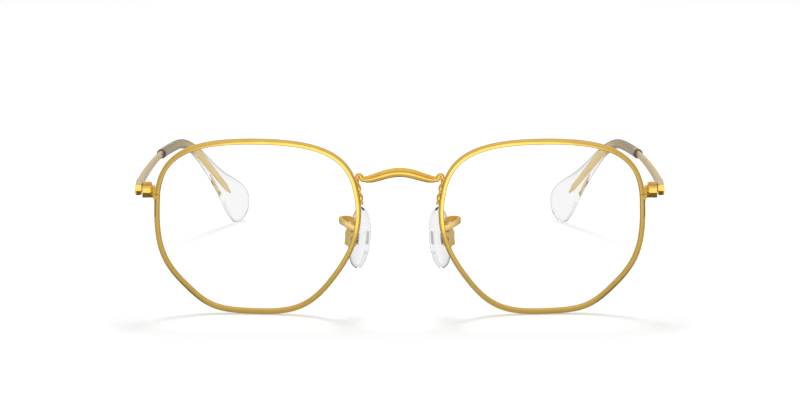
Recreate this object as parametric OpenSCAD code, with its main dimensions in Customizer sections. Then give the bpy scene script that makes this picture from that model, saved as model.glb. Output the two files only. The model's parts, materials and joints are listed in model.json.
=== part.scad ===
// Hexagonal wire eyeglasses with folding temples, adjustable nose pads and clear temple tips.
// They stand open on a table, on the lower edges of both rims and on both temple tips.
// X points to the wearer's left, Y backwards along the temples and Z up. The table is z = 0.
// Pieces of one side are drawn at +X, and the other side is their mirror image.

/* [Lens openings] */
// Width of each lens opening
eye_w = 50.1; // [46:0.1:54]
// Height of each lens opening
eye_h = 43.1; // [40:0.1:47]
// Distance between the two openings across the nose
bridge_gap = 21.4; // [18:0.1:25]
// Radius of the sphere that both lenses lie on
lens_r = 200; // [120:5:400]
// Thickness of the lenses
lens_t = 1.2; // [1:0.1:1.6]
// Angle that each lens turns back towards its temple
face_form = 4.5; // [2:0.5:7]
// Lean of the whole front, its top forwards
lean = 5; // [2:0.5:9]

/* [Rim wire] */
// Width of the rim wire, seen from the front
rim_w = 1.2; // [1:0.05:1.6]
// Depth of the rim wire, from front to back
rim_d = 1.9; // [1.7:0.05:2.4]
// Depth of the groove that holds the lens
groove_d = 0.5; // [0.4:0.05:0.6]
// Width of the groove at its mouth
groove_w = 1; // [0.8:0.05:1.2]

/* [Bridge] */
// Height of the bridge's middle above the lens centres
bridge_rise = 14.6; // [13.6:0.1:15.4]
// Height of the bridge's necks, beside its scrolls, above the lens centres
bridge_low = 12.6; // [11.5:0.1:13.2]
// Height of the bridge bar in the middle
bridge_h = 2.5; // [2:0.05:3]
// Depth of the bridge bar in the middle
bridge_d = 1.9; // [1.5:0.1:2.4]
// Radius of the scroll at each end of the bridge
scroll_r = 1; // [0.8:0.05:1.2]
// Length of the beaded foot under each scroll
foot_l = 6; // [5:0.1:7]
// Height of the foot's beads above the rim
lobe_h = 0.75; // [0.5:0.05:1]

/* [Closing blocks] */
// Width of a closing block, from the rim to its outer face
block_w = 3.2; // [2.8:0.1:3.6]
// Depth of a closing block
block_d = 3.2; // [2.8:0.1:4]
// Height of the upper half, which carries the hinge
block_up = 1.6; // [1.4:0.1:2]
// Height of the lower half, which closes the rim
block_down = 1.25; // [1.1:0.05:1.6]
// Distance of the seam between the halves below the hinge's middle
block_drop = 0.7; // [0.5:0.05:0.9]
// Distance from the rim's middle line forwards to the block's front face
block_set = 0.45; // [0.2:0.05:0.8]
// Length of the leg that the lower half has along the rim
leg_l = 4.6; // [3:0.1:6]
// Thickness of that leg
leg_t = 0.45; // [0.35:0.05:0.55]

/* [Hinges] */
// Height of the hinges above the table
hinge_z = 31.6; // [29:0.1:33]
// Outward angle of the open temples at the hinge
splay = 2.9; // [1:0.1:5]
// Radius of the three hinge barrels
barrel_r = 1.1; // [1:0.05:1.3]
// Height of the three barrels together
barrel_h = 2.6; // [2.2:0.1:3.2]
// Thickness of the hinge leaves
leaf_t = 0.45; // [0.35:0.05:0.6]
// Length of the leaf that is brazed to the temple
leaf_l = 5.2; // [4:0.1:7]

/* [Screws] */
// Shank radius of the hinge and closing screws
screw_r = 0.5; // [0.4:0.05:0.6]
// Head radius of the hinge and closing screws
head_r = 0.85; // [0.75:0.05:0.95]
// Shank radius of the nose pad screws
pin_r = 0.35; // [0.3:0.05:0.4]
// Radial clearance of a shank in its bore
fit = 0.05; // [0.02:0.01:0.08]

/* [Temples] */
// Length of a temple along its curve, from its front end to its tip
temple_l = 145; // [135:1:150]
// Width of the temple's head beside the closing block
head_w = 1.65; // [1.4:0.05:2]
// Height of the temple's head
head_h = 2.7; // [2.4:0.05:3]
// Length of the head
head_l = 12; // [10:0.5:16]
// Width of the temple wire behind the head
wire_w = 1.36; // [1.1:0.02:1.6]
// Height of the temple wire where it enters the tip
wire_h = 1.8; // [1.5:0.05:2]
// Width of the flattened core inside the tip
core_w = 0.9; // [0.7:0.05:1.1]
// Inward turn of a temple, even along the curve behind its straight front
bow = 21.8; // [12:0.1:30]
// Downward bend behind the ear
drop = 38.4; // [30:0.1:46]
// Inward turn that comes with that bend
tuck = 12.6; // [4:0.1:20]
// Length of curve that the downward bend takes
drop_l = 30; // [24:0.1:38]
// Length of curve from the middle of that bend to the temple's end
drop_back = 40.7; // [37:0.1:45]

/* [Temple tips] */
// Length of the clear tip along the curve
tip_l = 72.8; // [66:0.1:80]
// Diameter of the tip's round front stretch
tip_dia = 2.6; // [2.4:0.05:3]
// Width of the tip's paddle end
paddle_w = 8.8; // [7.5:0.1:10]
// Thickness of the tip's paddle end
paddle_t = 2.1; // [1.8:0.1:2.6]
// Length of solid tip past the end of the core
tip_solid = 12.2; // [10:0.1:16]

/* [Nose pads] */
// Width of a nose pad
pad_w = 8; // [7:0.1:9]
// Height of a nose pad
pad_h = 16; // [13:0.1:17]
// Thickness of a nose pad
pad_t = 1.8; // [1.6:0.1:2.4]
// Distance from the middle plane to each pad's centre
pad_x = 10.3; // [9.6:0.1:11.4]
// Distance from the lens plane back to each pad's centre
pad_y = 9.5; // [9:0.1:11]
// Distance of the pads' centres below the lens centres
pad_low = 4.6; // [4:0.1:5.5]
// Angle of the pads to the temples, seen from above
pad_splay = 28; // [22:1:34]
// Angle of the pads to the vertical, seen from the front
pad_lean = 5; // [2:1:9]

/* [Pad arms] */
// Height of the flat arm wire
arm_h = 1.35; // [1.1:0.05:1.6]
// Thickness of the flat arm wire
arm_t = 0.6; // [0.5:0.05:0.7]
// Distance that the arm's loop reaches past the rim
arm_reach = 4.4; // [4:0.1:5.2]
// Height of the arm's start below the lens centres
arm_low = 0.5; // [0.2:0.1:1.2]
// Height of the arm's loop above its start
arm_rise = 2.2; // [1.6:0.1:2.6]
// Height of the box that holds the pad's lug
box_h = 3.6; // [3:0.1:4]
// Width of that box along its screw
box_w = 2.2; // [2:0.05:2.6]
// Thickness of the box's walls
box_wall = 0.4; // [0.35:0.05:0.5]

/* [Hidden] */

// Corners of the rounded hexagon as shares of half its width and half its height,
// from the upper outer corner over the nose side and back up the outer side
corner_shares = [[0.97, 0.97], [-0.85, 1.02], [-1.06, -0.07], [-0.48, -1.01], [0.5, -0.99], [1.02, -0.35]];
// How far each corner stays rounded: 0 is a sharp corner, 1 a wide one
round_shares = [0.28, 0.3, 0.25, 0.21, 0.11, 0.19];
corners = len(corner_shares);
// Steps that each rounded corner is divided into
corner_steps = 12;

// Film of solder, or of air, between pieces that are brazed or set against each other
film = 0.03;
// Gap at the split of the rim and between the halves of a closing block
split_gap = 0.06;
// Overrun of every cut
over = 0.5;
gold = "#d9b04c";
steel = "#b9bcc0";
clear = [0.93, 0.96, 0.98, 0.35];

// A point on the cubic curve with end points a and d and handles b and c
function bezier(a, b, c, d, t) =
    pow(1 - t, 3) * a + 3 * pow(1 - t, 2) * t * b + 3 * (1 - t) * t * t * c + pow(t, 3) * d;
// The direction of that curve
function bezier_way(a, b, c, d, t) =
    pow(1 - t, 2) * (b - a) + 2 * (1 - t) * t * (c - b) + t * t * (d - c);
function unit(v) = v / norm(v);
function turn_x(p, a) = [p.x, p.y * cos(a) - p.z * sin(a), p.y * sin(a) + p.z * cos(a)];
function turn_z(p, a) = [p.x * cos(a) - p.y * sin(a), p.x * sin(a) + p.y * cos(a), p.z];
function smooth(t) = let (c = min(max(t, 0), 1)) c * c * (3 - 2 * c);

// The hexagon before it is stretched to its box. It starts at t = 0 on the outer side, and
// each whole step of t is one rounded corner between the middles of two sides.
function corner(j) = corner_shares[(j + 2 * corners) % corners];
function handles(t) =
    let (j = floor(t), v = corner(j), k = round_shares[(j + 2 * corners) % corners])
    let (a = (corner(j - 1) + v) / 2, d = (v + corner(j + 1)) / 2)
    [a, v + (a - v) * k, v + (d - v) * k, d, t - j];
function raw(t) = let (h = handles(t)) bezier(h[0], h[1], h[2], h[3], h[4]);
function raw_way(t) = let (h = handles(t)) bezier_way(h[0], h[1], h[2], h[3], h[4]);

eye_ts = [for (k = [0 : corners * corner_steps - 1]) k / corner_steps];
raw_xs = [for (t = eye_ts) raw(t).x];
raw_ys = [for (t = eye_ts) raw(t).y];
raw_mid = [max(raw_xs) + min(raw_xs), max(raw_ys) + min(raw_ys)] / 2;
raw_size = [max(raw_xs) - min(raw_xs), max(raw_ys) - min(raw_ys)];

// Edge of the lens opening, moved outwards by d along its normal
function edge(t, d = 0) =
    let (p = raw(t) - raw_mid, w = raw_way(t))
    let (n = unit([w.y * eye_h / raw_size.y, -w.x * eye_w / raw_size.x]))
    [p.x * eye_w / raw_size.x, p.y * eye_h / raw_size.y] + d * n;
// The value between a and b at which the function f comes to v, found by halving
function solve(f, v, a, b, n = 24) =
    let (m = (a + b) / 2)
    n == 0 ? m : (f(m) < v) == (f(b) > f(a)) ? solve(f, v, m, b, n - 1) : solve(f, v, a, m, n - 1);
// The value of t between a and b at which the opening's edge has the height v
function edge_t(v, a, b) = solve(function (t) edge(t).y, v, a, b);

// From a lens's own plane to the front: q holds the outward place, the depth and the height
function sag(x, z) = lens_r - sqrt(lens_r * lens_r - x * x - z * z);
function on_face(q) =
    turn_z([q.x + eye_w / 2, q.y + sag(q.x, q.z), q.z], face_form) + [bridge_gap / 2, 0, 0];
function rim_point(t, d, depth) = let (e = edge(t, d)) on_face([e.x, depth, e.y]);

// Section of the rim wire as shares of its width and depth, without its groove
rim_shares = [
    [0, 0.3], [0.4, 0.5], [0.78, 0.45], [1, 0.27], [1, -0.27], [0.78, -0.45], [0.4, -0.5], [0, -0.3]
];
rim_section = concat(
    [for (s = rim_shares) [s.x * rim_w, s.y * rim_d]],
    [[0, -groove_w / 2], [groove_d, 0], [0, groove_w / 2]]
);
// The wire at t, with its outer side set back by the depth cut
function rim_ring(t, cut = 0) = [for (s = rim_section) rim_point(t, min(s.x, rim_w - cut), s.y)];

// Where the front stands: its lens centres lie lens_z above the table
rim_all = [for (t = eye_ts) for (p = rim_ring(t)) turn_x(p, lean)];
lens_z = -min([for (p = rim_all) p.z]);
function leaned(p) = turn_x(p, lean) + [0, 0, lens_z];

// The rim is split on its outer side, at the height where the block's halves meet
function outer_t(z) = solve(function (t) leaned(rim_point(t, rim_w, 0)).z, z, -1, 1);
split_t = outer_t(hinge_z - block_drop);
// Step of t that is a hundredth of a corner, and the change of t over a length of rim
t_step = 0.01;
function dt_of(length) = length / norm(edge(split_t + t_step) - edge(split_t)) * t_step;
split_dt = dt_of(split_gap / 2);
// The leg of the closing block's lower half lies in a notch in the rim's outer side
notch_t = outer_t(hinge_z - block_drop - block_down - leg_l);
notch_d = leg_t + film;
rim_ts = concat(
    [split_t + split_dt],
    [for (k = [-corner_steps : corners * corner_steps]) let (t = k / corner_steps)
        if (t > split_t + 2 * split_dt && t < notch_t + corners - 2 * split_dt) t],
    [notch_t + corners - split_dt, notch_t + corners],
    [for (k = [0 : corners * corner_steps]) let (t = k / corner_steps)
        if (t > notch_t + corners + 2 * split_dt && t < split_t + corners - 2 * split_dt) t],
    [split_t + corners - split_dt]
);

// The hinge axis lies behind the closing block
block_mid = leaned(rim_point(split_t, rim_w, 0));
function rim_beside(up, depth) = leaned(rim_point(outer_t(block_mid.z + up), rim_w, depth)).x;
block_ups = [-block_down, 0, block_up];
block_in = max([for (up = block_ups) for (f = [-0.3, 0.3]) rim_beside(up, f * rim_d)]) + film;
hinge_gap = 0.1;
hinge_back = block_d + leaf_t + hinge_gap + barrel_r;
axis_in = 1.3;
temple_gap = 0.15;
hinge_at = [
    block_in + block_w - axis_in,
    block_mid.y - block_set + hinge_back,
    hinge_z
];

// The temple's middle line, in steps of equal length from its front end. In the hinge's own
// frame the line starts beside the block and runs along Y, and x counts outwards.
temple_steps = 145;
temple_ds = temple_l / temple_steps;
temple_x = axis_in + temple_gap + head_w / 2;
// Length of straight wire behind the head
straight_l = 8;
bow_from = head_l + straight_l;
bend_from = temple_l - drop_back - drop_l / 2;
function bend_at(s) = smooth((s - bend_from) / drop_l);
function yaw_at(s) = bow * max(s - bow_from, 0) / (temple_l - bow_from) + tuck * bend_at(s);
function pitch_at(s) = drop * bend_at(s);
function way_at(s) =
    [-sin(yaw_at(s)) * cos(pitch_at(s)), cos(yaw_at(s)) * cos(pitch_at(s)), -sin(pitch_at(s))];
temple_line = [
    for (i = 0, p = [temple_x, -hinge_back, 0]; i <= temple_steps;
        p = p + temple_ds * way_at((i + 0.5) * temple_ds), i = i + 1) p
];
function line_at(s) =
    let (f = min(max(s / temple_ds, 0), temple_steps), k = min(floor(f), temple_steps - 1))
    temple_line[k] + (f - k) * (temple_line[k + 1] - temple_line[k]);

// Eight-sided section across the line at s: half width a, half height b and bevels of c
function ring_at(s, a, b, c) =
    let (o = [cos(yaw_at(s)), sin(yaw_at(s)), 0], u = cross(o, way_at(s)), m = line_at(s))
    let (e = a - c, g = b - c)
    [for (q = [[a, -g], [a, g], [e, b], [-e, b], [-a, g], [-a, -g], [-e, -b], [e, -b]])
        m + q.x * o + q.y * u];
// Round section across the line at s, with width w and height h
tip_sides = 14;
function oval_at(s, w, h) =
    let (o = [cos(yaw_at(s)), sin(yaw_at(s)), 0], u = cross(o, way_at(s)), m = line_at(s))
    [for (k = [0 : tip_sides - 1]) let (a = (k + 0.5) * 360 / tip_sides)
        m + w / 2 * cos(a) * o + h / 2 * sin(a) * u];

// Sizes of the wire at the distance s from its front end
tip_from = temple_l - tip_l;
core_end = temple_l - tip_solid;
core_taper = 3;
wire_taper = 4;
function wire_width(s) = lookup(s, [
    [head_l, head_w], [head_l + wire_taper, wire_w], [tip_from, wire_w * 0.8],
    [tip_from + tip_l * 0.2, core_w], [core_end - core_taper, core_w], [core_end, core_w / 2]
]);
function wire_height(s) = lookup(s, [
    [0, head_h], [head_l, head_h], [head_l + wire_taper, head_h * 0.93], [tip_from, wire_h],
    [core_end - core_taper, wire_h], [core_end, wire_h / 3]
]);
wire_ss = concat(
    [for (f = [0, 0.5, 1]) f * head_l],
    [for (f = [0 : 1 / 9 : 1]) head_l + wire_taper + f * (tip_from - head_l - wire_taper)],
    [for (f = [1 : 18]) tip_from + f / 18 * (core_end - core_taper - tip_from)],
    [core_end - core_taper / 3, core_end]
);

// Growth of the tip from its round front to its paddle, as shares of the tip's length
paddle_shares = [
    [0, 0], [0.45, 0], [0.59, 0.09], [0.68, 0.24], [0.77, 0.45], [0.84, 0.72], [0.89, 0.92], [0.93, 1]
];
function end_round(s) =
    let (r = paddle_w / 2, f = (s - temple_l + r) / r) f <= 0 ? 1 : sqrt(max(1 - f * f, 0));
function tip_grow(s) = lookup((s - tip_from) / tip_l, paddle_shares);
function tip_height(s) = (tip_dia + tip_grow(s) * (paddle_w - tip_dia)) * end_round(s);
function tip_width(s) = (tip_dia + tip_grow(s) * (paddle_t - tip_dia)) * (0.35 + 0.65 * end_round(s));
tip_ss = concat(
    [for (f = [0 : 0.05 : 0.9]) tip_from + f * tip_l],
    [for (f = [0.94, 0.965, 0.98, 0.99, 0.997]) tip_from + f * tip_l]
);
tip_rings = [for (s = tip_ss) oval_at(s, tip_width(s), tip_height(s))];

// The temples tip down about the hinges until their tips touch the table
tip_all = [for (r = tip_rings) for (p = r) turn_z(p, -splay)];
settle = min([
    for (p = tip_all) let (r = norm([p.y, p.z])) if (r > hinge_z) atan2(p.z, p.y) + asin(hinge_z / r)
]);
function hinged(p) = turn_x(turn_z(p, -splay), -settle) + hinge_at;

// The origin is under the middle of the whole part
back_y = max([for (r = tip_rings) for (p = r) hinged(p).y]);
front_y = min([for (p = rim_all) p.y]);
mid_y = (back_y + front_y) / 2;

// Places each piece: frame of the table, of the leaned front, of a lens and of a hinge
module seated() { translate([0, -mid_y, 0]) children(); }
module front_frame() { seated() translate([0, 0, lens_z]) rotate([lean, 0, 0]) children(); }
module hinge_frame() {
    seated() translate(hinge_at) rotate([-settle, 0, 0]) rotate([0, 0, -splay]) children();
}
module pad_frame() {
    front_frame() translate([pad_x, pad_y, -pad_low])
        rotate([0, -pad_lean, 0]) rotate([0, 0, -pad_splay]) children();
}
module other_side() { mirror([1, 0, 0]) children(); }

// A skin over equal rings of points, closed by flat ends or, when looped, onto its first ring
module loft(rings, looped = false) {
    n = len(rings[0]);
    m = len(rings);
    sides = [
        for (i = [0 : m - (looped ? 1 : 2)]) for (j = [0 : n - 1])
        let (a = i * n + j, b = i * n + (j + 1) % n, c = (i + 1) % m * n + (j + 1) % n, d = (i + 1) % m * n + j)
        each [[a, b, c], [a, c, d]]
    ];
    ends = looped ? [] : [[for (j = [n - 1 : -1 : 0]) j], [for (j = [0 : n - 1]) (m - 1) * n + j]];
    polyhedron([for (r = rings) each r], concat(sides, ends));
}

module bore(r, h) { cylinder(h = h, r = r, center = true, $fn = 32); }

module rim() {
    color(gold) front_frame() loft([for (t = rim_ts) rim_ring(t, t < notch_t + corners ? 0 : notch_d)]);
}

// The lens has domed faces and a bevelled edge that seats in the groove
module lens() {
    play = 0.1;
    bevel = groove_w / 2 - play;
    tip = groove_d - play;
    zoom_shares = [0.02, 0.33, 0.66];
    function at(t, d, depth, f = 1) = let (e = edge(t, d) * f) on_face([e.x, depth, e.y]);
    outer = [[-play, -lens_t / 2], [-play, -bevel], [tip, 0], [-play, bevel], [-play, lens_t / 2]];
    function face(f, depth) = [for (t = eye_ts) at(t, -play, depth, f)];
    front_rings = [for (f = zoom_shares) face(f, -lens_t / 2)];
    edge_rings = [for (q = outer) [for (t = eye_ts) at(t, q.x, q.y)]];
    back_rings = [for (k = [2, 1, 0]) face(zoom_shares[k], lens_t / 2)];
    color(clear) front_frame() loft(concat(front_rings, edge_rings, back_rings));
}

// Bar with a scroll at each end and a beaded foot under each scroll, along the rim's nose side
function beside_rim(t) = rim_point(t, rim_w + film + scroll_r, 0);
scroll_t = solve(function (t) beside_rim(t).z, bridge_low + scroll_r * 0.55, 1.5, 2.5);
scroll_at = beside_rim(scroll_t);
bar_end = scroll_at + [-scroll_r * 0.35, 0, -scroll_r * 0.62];
bar_bow = 0.4;
bar_a = [0, scroll_at.y - bar_bow, bridge_rise];
bar_b = [bar_end.x * 0.42, bar_a.y, bridge_rise];
bar_c = [bar_end.x * 0.66, bar_end.y, bridge_low - scroll_r * 0.1];
// The bar's height and depth from its middle to its end, as shares of those in the middle
thin_shares = [[0, 1], [0.5, 0.93], [0.75, 0.84], [0.9, 0.58], [1, 0.45]];
flat_shares = [[0, 1], [0.6, 0.9], [1, 0.62]];
function bar_ring(x) =
    let (t = abs(x), g = x < 0 ? -1 : 1, thin = lookup(t, thin_shares), flat = lookup(t, flat_shares))
    let (p = bezier(bar_a, bar_b, bar_c, bar_end, t), w = bezier_way(bar_a, bar_b, bar_c, bar_end, t))
    let (u = unit([-w.z, 0, w.x]))
    [for (k = [0 : 11]) let (a = 30 * k + 15, q = p + bridge_h / 2 * thin * sin(a) * u)
        [g * q.x, q.y - bridge_d / 2 * flat * cos(a), q.z]];
bar_ts = [for (k = [0 : 14]) 1 - pow(1 - k / 14, 1.3)];
// Heights along the foot as shares of its greatest: a small bead, a round one, a long one and the end
bead_shares = [
    [0, 0.75], [0.07, 0.85], [0.14, 0.55], [0.2, 0.85], [0.3, 0.97], [0.38, 0.88], [0.44, 0.55], [0.5, 0.5],
    [0.57, 0.8], [0.66, 1], [0.76, 0.94], [0.83, 0.66], [0.89, 0.9], [0.95, 0.94], [1, 0.6]
];
foot_steps = 24;
foot_rings = [
    for (k = [0 : foot_steps])
    let (f = k / foot_steps, t = edge_t(edge(scroll_t).y - scroll_r * 0.6 - f * foot_l, 1.5, 2.999))
    let (h = lobe_h * lookup(f, bead_shares), w = rim_d * 0.14 + h * 0.42)
    [for (q = [[0, w], [h * 0.7, w], [h, w * 0.5], [h, -w * 0.5], [h * 0.7, -w], [0, -w]])
        rim_point(t, rim_w + film + q.x, q.y)]
];
module scroll() {
    translate(scroll_at) rotate([90, 0, 0]) difference() {
        cylinder(h = bridge_d * 0.85, r = scroll_r, center = true, $fn = 32);
        translate([0, -scroll_r * 0.2, bridge_d * 0.55]) bore(scroll_r * 0.32, bridge_d * 0.6);
    }
    loft(foot_rings);
}
module bridge() {
    color(gold) front_frame() {
        loft(concat(
            [for (k = [14 : -1 : 1]) bar_ring(-bar_ts[k])],
            [for (k = [0 : 14]) bar_ring(bar_ts[k])]
        ));
        scroll();
        other_side() scroll();
    }
}

// Closing block: plan outline with a shoulder on its front inner corner
block_split = -block_drop;
shoulder = 0.9;
module block_plan(h) {
    x0 = axis_in - block_w;
    y0 = -hinge_back;
    y1 = y0 + block_d;
    function inner(y) = (x0 - y * sin(splay)) / cos(splay);
    linear_extrude(height = h, center = true) polygon([
        [axis_in, y0], [axis_in, y1], [inner(y1), y1], [inner(y0 + shoulder), y0 + shoulder],
        [inner(y0) + shoulder, y0]
    ]);
}
screw_at = [axis_in - block_w * 0.48, -hinge_back + block_d * 0.56, 0];
facet = 0.9;
module block_upper() {
    y0 = -hinge_back;
    y1 = y0 + block_d;
    z0 = block_split + split_gap / 2;
    z1 = z0 + block_up;
    color(gold) hinge_frame() difference() {
        intersection() {
            block_plan(4 * block_up);
            rotate([90, 0, 90]) linear_extrude(height = 4 * block_w, center = true) polygon([
                [y0, z0], [y1, z0], [y1, z1], [y0 + facet / 3, z1], [y0, z1 - facet / 3]
            ]);
        }
        translate(screw_at + [0, 0, z0 + block_up * 0.3]) bore(screw_r + fit, block_up * 0.9);
    }
}
// The leg fills the rim's notch and thickens into a root where it meets the block
leg_shares = [0 : 0.25 : 1];
function leg_ring(f) =
    let (t = outer_t(block_mid.z - block_down / 2 - f * (block_down / 2 + leg_l)))
    let (thick = leg_t * (f == 0 ? 2 : 1))
    [for (q = [[0, -0.3], [0.7, -0.3], [1, -0.2], [1, 0.2], [0.7, 0.3], [0, 0.3]])
        rim_point(t, rim_w - leg_t + q.x * thick, q.y * rim_d)];
module block_lower() {
    y0 = -hinge_back;
    y1 = y0 + block_d;
    z1 = block_split - split_gap / 2;
    z0 = z1 - block_down;
    color(gold) {
        hinge_frame() difference() {
            intersection() {
                block_plan(4 * block_down);
                rotate([90, 0, 90]) linear_extrude(height = 4 * block_w, center = true) polygon([
                    [y0, z1], [y0 + facet, z0], [y1, z0], [y1, z1]
                ]);
            }
            translate(screw_at + [0, 0, z1]) bore(screw_r + fit, 4 * block_down);
            translate(screw_at + [0, 0, z0]) bore(head_r + fit, block_down * 0.8);
        }
        front_frame() loft([for (f = leg_shares) leg_ring(f)]);
    }
}
module closing_screw() {
    z0 = block_split - split_gap / 2 - block_down;
    top = block_split + split_gap / 2 + block_up * 0.7;
    color(steel) hinge_frame() translate([screw_at.x, screw_at.y, z0]) difference() {
        union() {
            cylinder(h = block_down * 0.36, r = head_r, $fn = 32);
            cylinder(h = top - z0, r = screw_r, $fn = 32);
        }
        cube([3 * head_r, head_r * 0.28, block_down * 0.3], center = true);
    }
}

// Hinge: two front barrels on the block, one rear barrel on the temple, and a screw
third = barrel_h / 3;
axial = 0.04;
module barrel(from, to) {
    translate([0, 0, from]) cylinder(h = to - from, r = barrel_r, $fn = 48);
}
module hinge_front() {
    plate_y = film + block_d - hinge_back;
    color(gold) hinge_frame() difference() {
        union() {
            translate([-barrel_r, plate_y, -barrel_h / 2]) cube([2 * barrel_r, leaf_t - film, barrel_h]);
            for (z = [-barrel_h / 2, third / 2 + axial / 2]) {
                barrel(z, z + third - axial / 2);
                translate([-barrel_r * 0.75, plate_y, z])
                    cube([barrel_r * 1.5, -plate_y, third - axial / 2]);
            }
        }
        bore(screw_r + fit, 2 * barrel_h);
        translate([0, 0, barrel_h / 2]) bore(head_r + fit, third * 0.5);
    }
}
module hinge_rear() {
    inner = axis_in + temple_gap;
    color(gold) hinge_frame() difference() {
        union() {
            barrel(axial / 2 - third / 2, third / 2 - axial / 2);
            translate([0, -barrel_r * 0.2, axial / 2 - third / 2])
                cube([inner - film, barrel_r * 1.6, third - axial]);
            translate([inner - leaf_t, barrel_r + hinge_gap, -barrel_h * 0.4])
                cube([leaf_t - film, leaf_l, barrel_h * 0.8]);
        }
        bore(screw_r + fit, 2 * barrel_h);
    }
}
module hinge_screw() {
    color(steel) hinge_frame() difference() {
        union() {
            translate([0, 0, -barrel_h / 2]) cylinder(h = barrel_h, r = screw_r, $fn = 32);
            translate([0, 0, barrel_h / 2 - third * 0.2]) cylinder(h = third * 0.4, r = head_r, $fn = 32);
        }
        translate([0, 0, barrel_h / 2 + third * 0.2])
            cube([3 * head_r, head_r * 0.28, third * 0.3], center = true);
    }
}

module temple() {
    function wire_ring(s) =
        let (w = wire_width(s)) ring_at(s, w / 2, wire_height(s) / 2, min(wire_w * 0.2, w * 0.3));
    color(gold) hinge_frame() difference() {
        loft([for (s = wire_ss) wire_ring(s)]);
        // The head's lower front edge is cut to the same facet as the closing block's
        translate([temple_x, -hinge_back, 0]) rotate([90, 0, 90])
            linear_extrude(height = 2 * head_w, center = true) polygon([
                [-over, -block_drop], [0, -block_drop], [facet, -head_h / 2],
                [facet, -head_h / 2 - over], [-over, -head_h / 2 - over]
            ]);
    }
}
module temple_tip() {
    room = 0.06;
    inside = [for (s = wire_ss) if (s > tip_from) s];
    color(clear) hinge_frame() difference() {
        loft(tip_rings);
        loft([
            for (s = concat([tip_from - over], inside, [core_end + 2 * room]))
            ring_at(s, wire_width(s) / 2 + room, wire_height(s) / 2 + room, wire_w * 0.15)
        ]);
    }
}

// Nose pad, its lug, and the box and screw that hold it. In the pad's frame x points away
// from the nose and y backwards, and the screw lies along y.
lug_gap = 0.6;
axle_x = pad_t / 2 + lug_gap + pin_r * 2;
box_deep = pin_r * 2 + lug_gap * 0.45;
box_room = 0.15;
box_back = axle_x + pin_r * 2 + box_room + box_wall;
pad_sides = 28;
function pad_ring(x, f) = [
    for (k = [0 : pad_sides - 1]) let (a = -360 * k / pad_sides, c = cos(a), s = sin(a))
    [x, f * pad_w / 2 * sign(c) * pow(abs(c), 0.9), f * pad_h / 2 * sign(s) * pow(abs(s), 0.9) * (1 + 0.04 * c)]
];
lug_w = box_w - 2 * box_wall - 2 * fit;
lug_base = 0.4;
module nose_pad() {
    half_shares = [[-0.5, 0.35], [-0.46, 0.72], [-0.3, 0.93], [0, 1], [0.3, 0.95], [0.47, 0.78], [0.5, 0.4]];
    color(clear) pad_frame() difference() {
        loft([for (q = half_shares) pad_ring(q.x * pad_t, q.y)]);
        translate([pad_t / 2, 0, 0])
            cube([2 * lug_base, lug_w * 1.8 + 2 * film, box_h * 0.8 + 2 * film], center = true);
    }
}
module pad_lug() {
    color(steel) pad_frame() difference() {
        union() {
            translate([pad_t / 2 - lug_base + film, -lug_w * 0.9, -box_h * 0.4])
                cube([lug_base, lug_w * 1.8, box_h * 0.8]);
            translate([pad_t / 2, -lug_w / 2, -pin_r * 1.6]) cube([axle_x - pad_t / 2, lug_w, pin_r * 3.2]);
            translate([axle_x, 0, 0]) rotate([90, 0, 0])
                cylinder(h = lug_w, r = pin_r * 2, center = true, $fn = 32);
        }
        translate([axle_x, 0, 0]) rotate([90, 0, 0]) bore(pin_r + fit, 2 * box_w);
    }
}
module pad_box() {
    front = axle_x - box_deep;
    color(gold) pad_frame() difference() {
        translate([front, -box_w / 2, -box_h / 2]) cube([box_back - front, box_w, box_h]);
        translate([front - over, box_wall - box_w / 2, -box_h / 2 - over])
            cube([box_back - box_wall - front + over, box_w - 2 * box_wall, box_h + 2 * over]);
        translate([axle_x, 0, 0]) rotate([90, 0, 0]) bore(pin_r + fit, 2 * box_w);
    }
}
module pad_screw() {
    color(steel) pad_frame() translate([axle_x, -box_w / 2, 0]) rotate([-90, 0, 0]) difference() {
        union() {
            translate([0, 0, -pin_r]) cylinder(h = box_w + 1.6 * pin_r, r = pin_r, $fn = 48);
            translate([0, 0, -pin_r]) cylinder(h = pin_r - film, r = pin_r * 1.9, $fn = 48);
        }
        translate([0, 0, -pin_r]) cube([5 * pin_r, pin_r * 0.5, pin_r * 0.7], center = true);
    }
}

// The arm is a flat wire that leaves the back of the rim, loops outwards and ends on the box
function in_pad(p) =
    let (q = turn_z(p, -pad_splay))
    [q.x * cos(pad_lean) - q.z * sin(pad_lean), q.y, q.x * sin(pad_lean) + q.z * cos(pad_lean)]
    + [pad_x, pad_y, -pad_low];
axle_at = leaned(in_pad([axle_x, 0, 0])) - [0, mid_y, 0];
axle_way = turn_x(in_pad([0, 1, 0]) - in_pad([0, 0, 0]), lean);
echo(hinge_at = hinge_at - [0, mid_y, 0], settle = settle, axle_at = axle_at, axle_way = axle_way);
arm_t0 = edge_t(-arm_low, 1.5, 3);
arm_a = rim_point(arm_t0, rim_w / 2, rim_d / 2 + film + arm_t / 2);
arm_top = arm_a + [arm_reach, (pad_y - arm_a.y) * 0.36, arm_rise];
arm_side = box_back + film + arm_t / 2;
arm_z = in_pad([arm_side, -box_w * 0.15, 0]);
arm_b = arm_a + [arm_reach * 0.5, arm_t * 0.3, arm_rise * 0.5];
arm_c = arm_top - [0, arm_t * 2.2, 0];
arm_d = arm_top + [0, arm_t * 4, 0];
arm_e = in_pad([arm_side, -box_w * 0.15 - arm_t, box_h * 0.9]);
function arm_line(t) =
    t < 1 ? bezier(arm_a, arm_b, arm_c, arm_top, t) : bezier(arm_top, arm_d, arm_e, arm_z, t - 1);
function arm_way(t) =
    t < 1 ? bezier_way(arm_a, arm_b, arm_c, arm_top, t) : bezier_way(arm_top, arm_d, arm_e, arm_z, t - 1);
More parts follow.
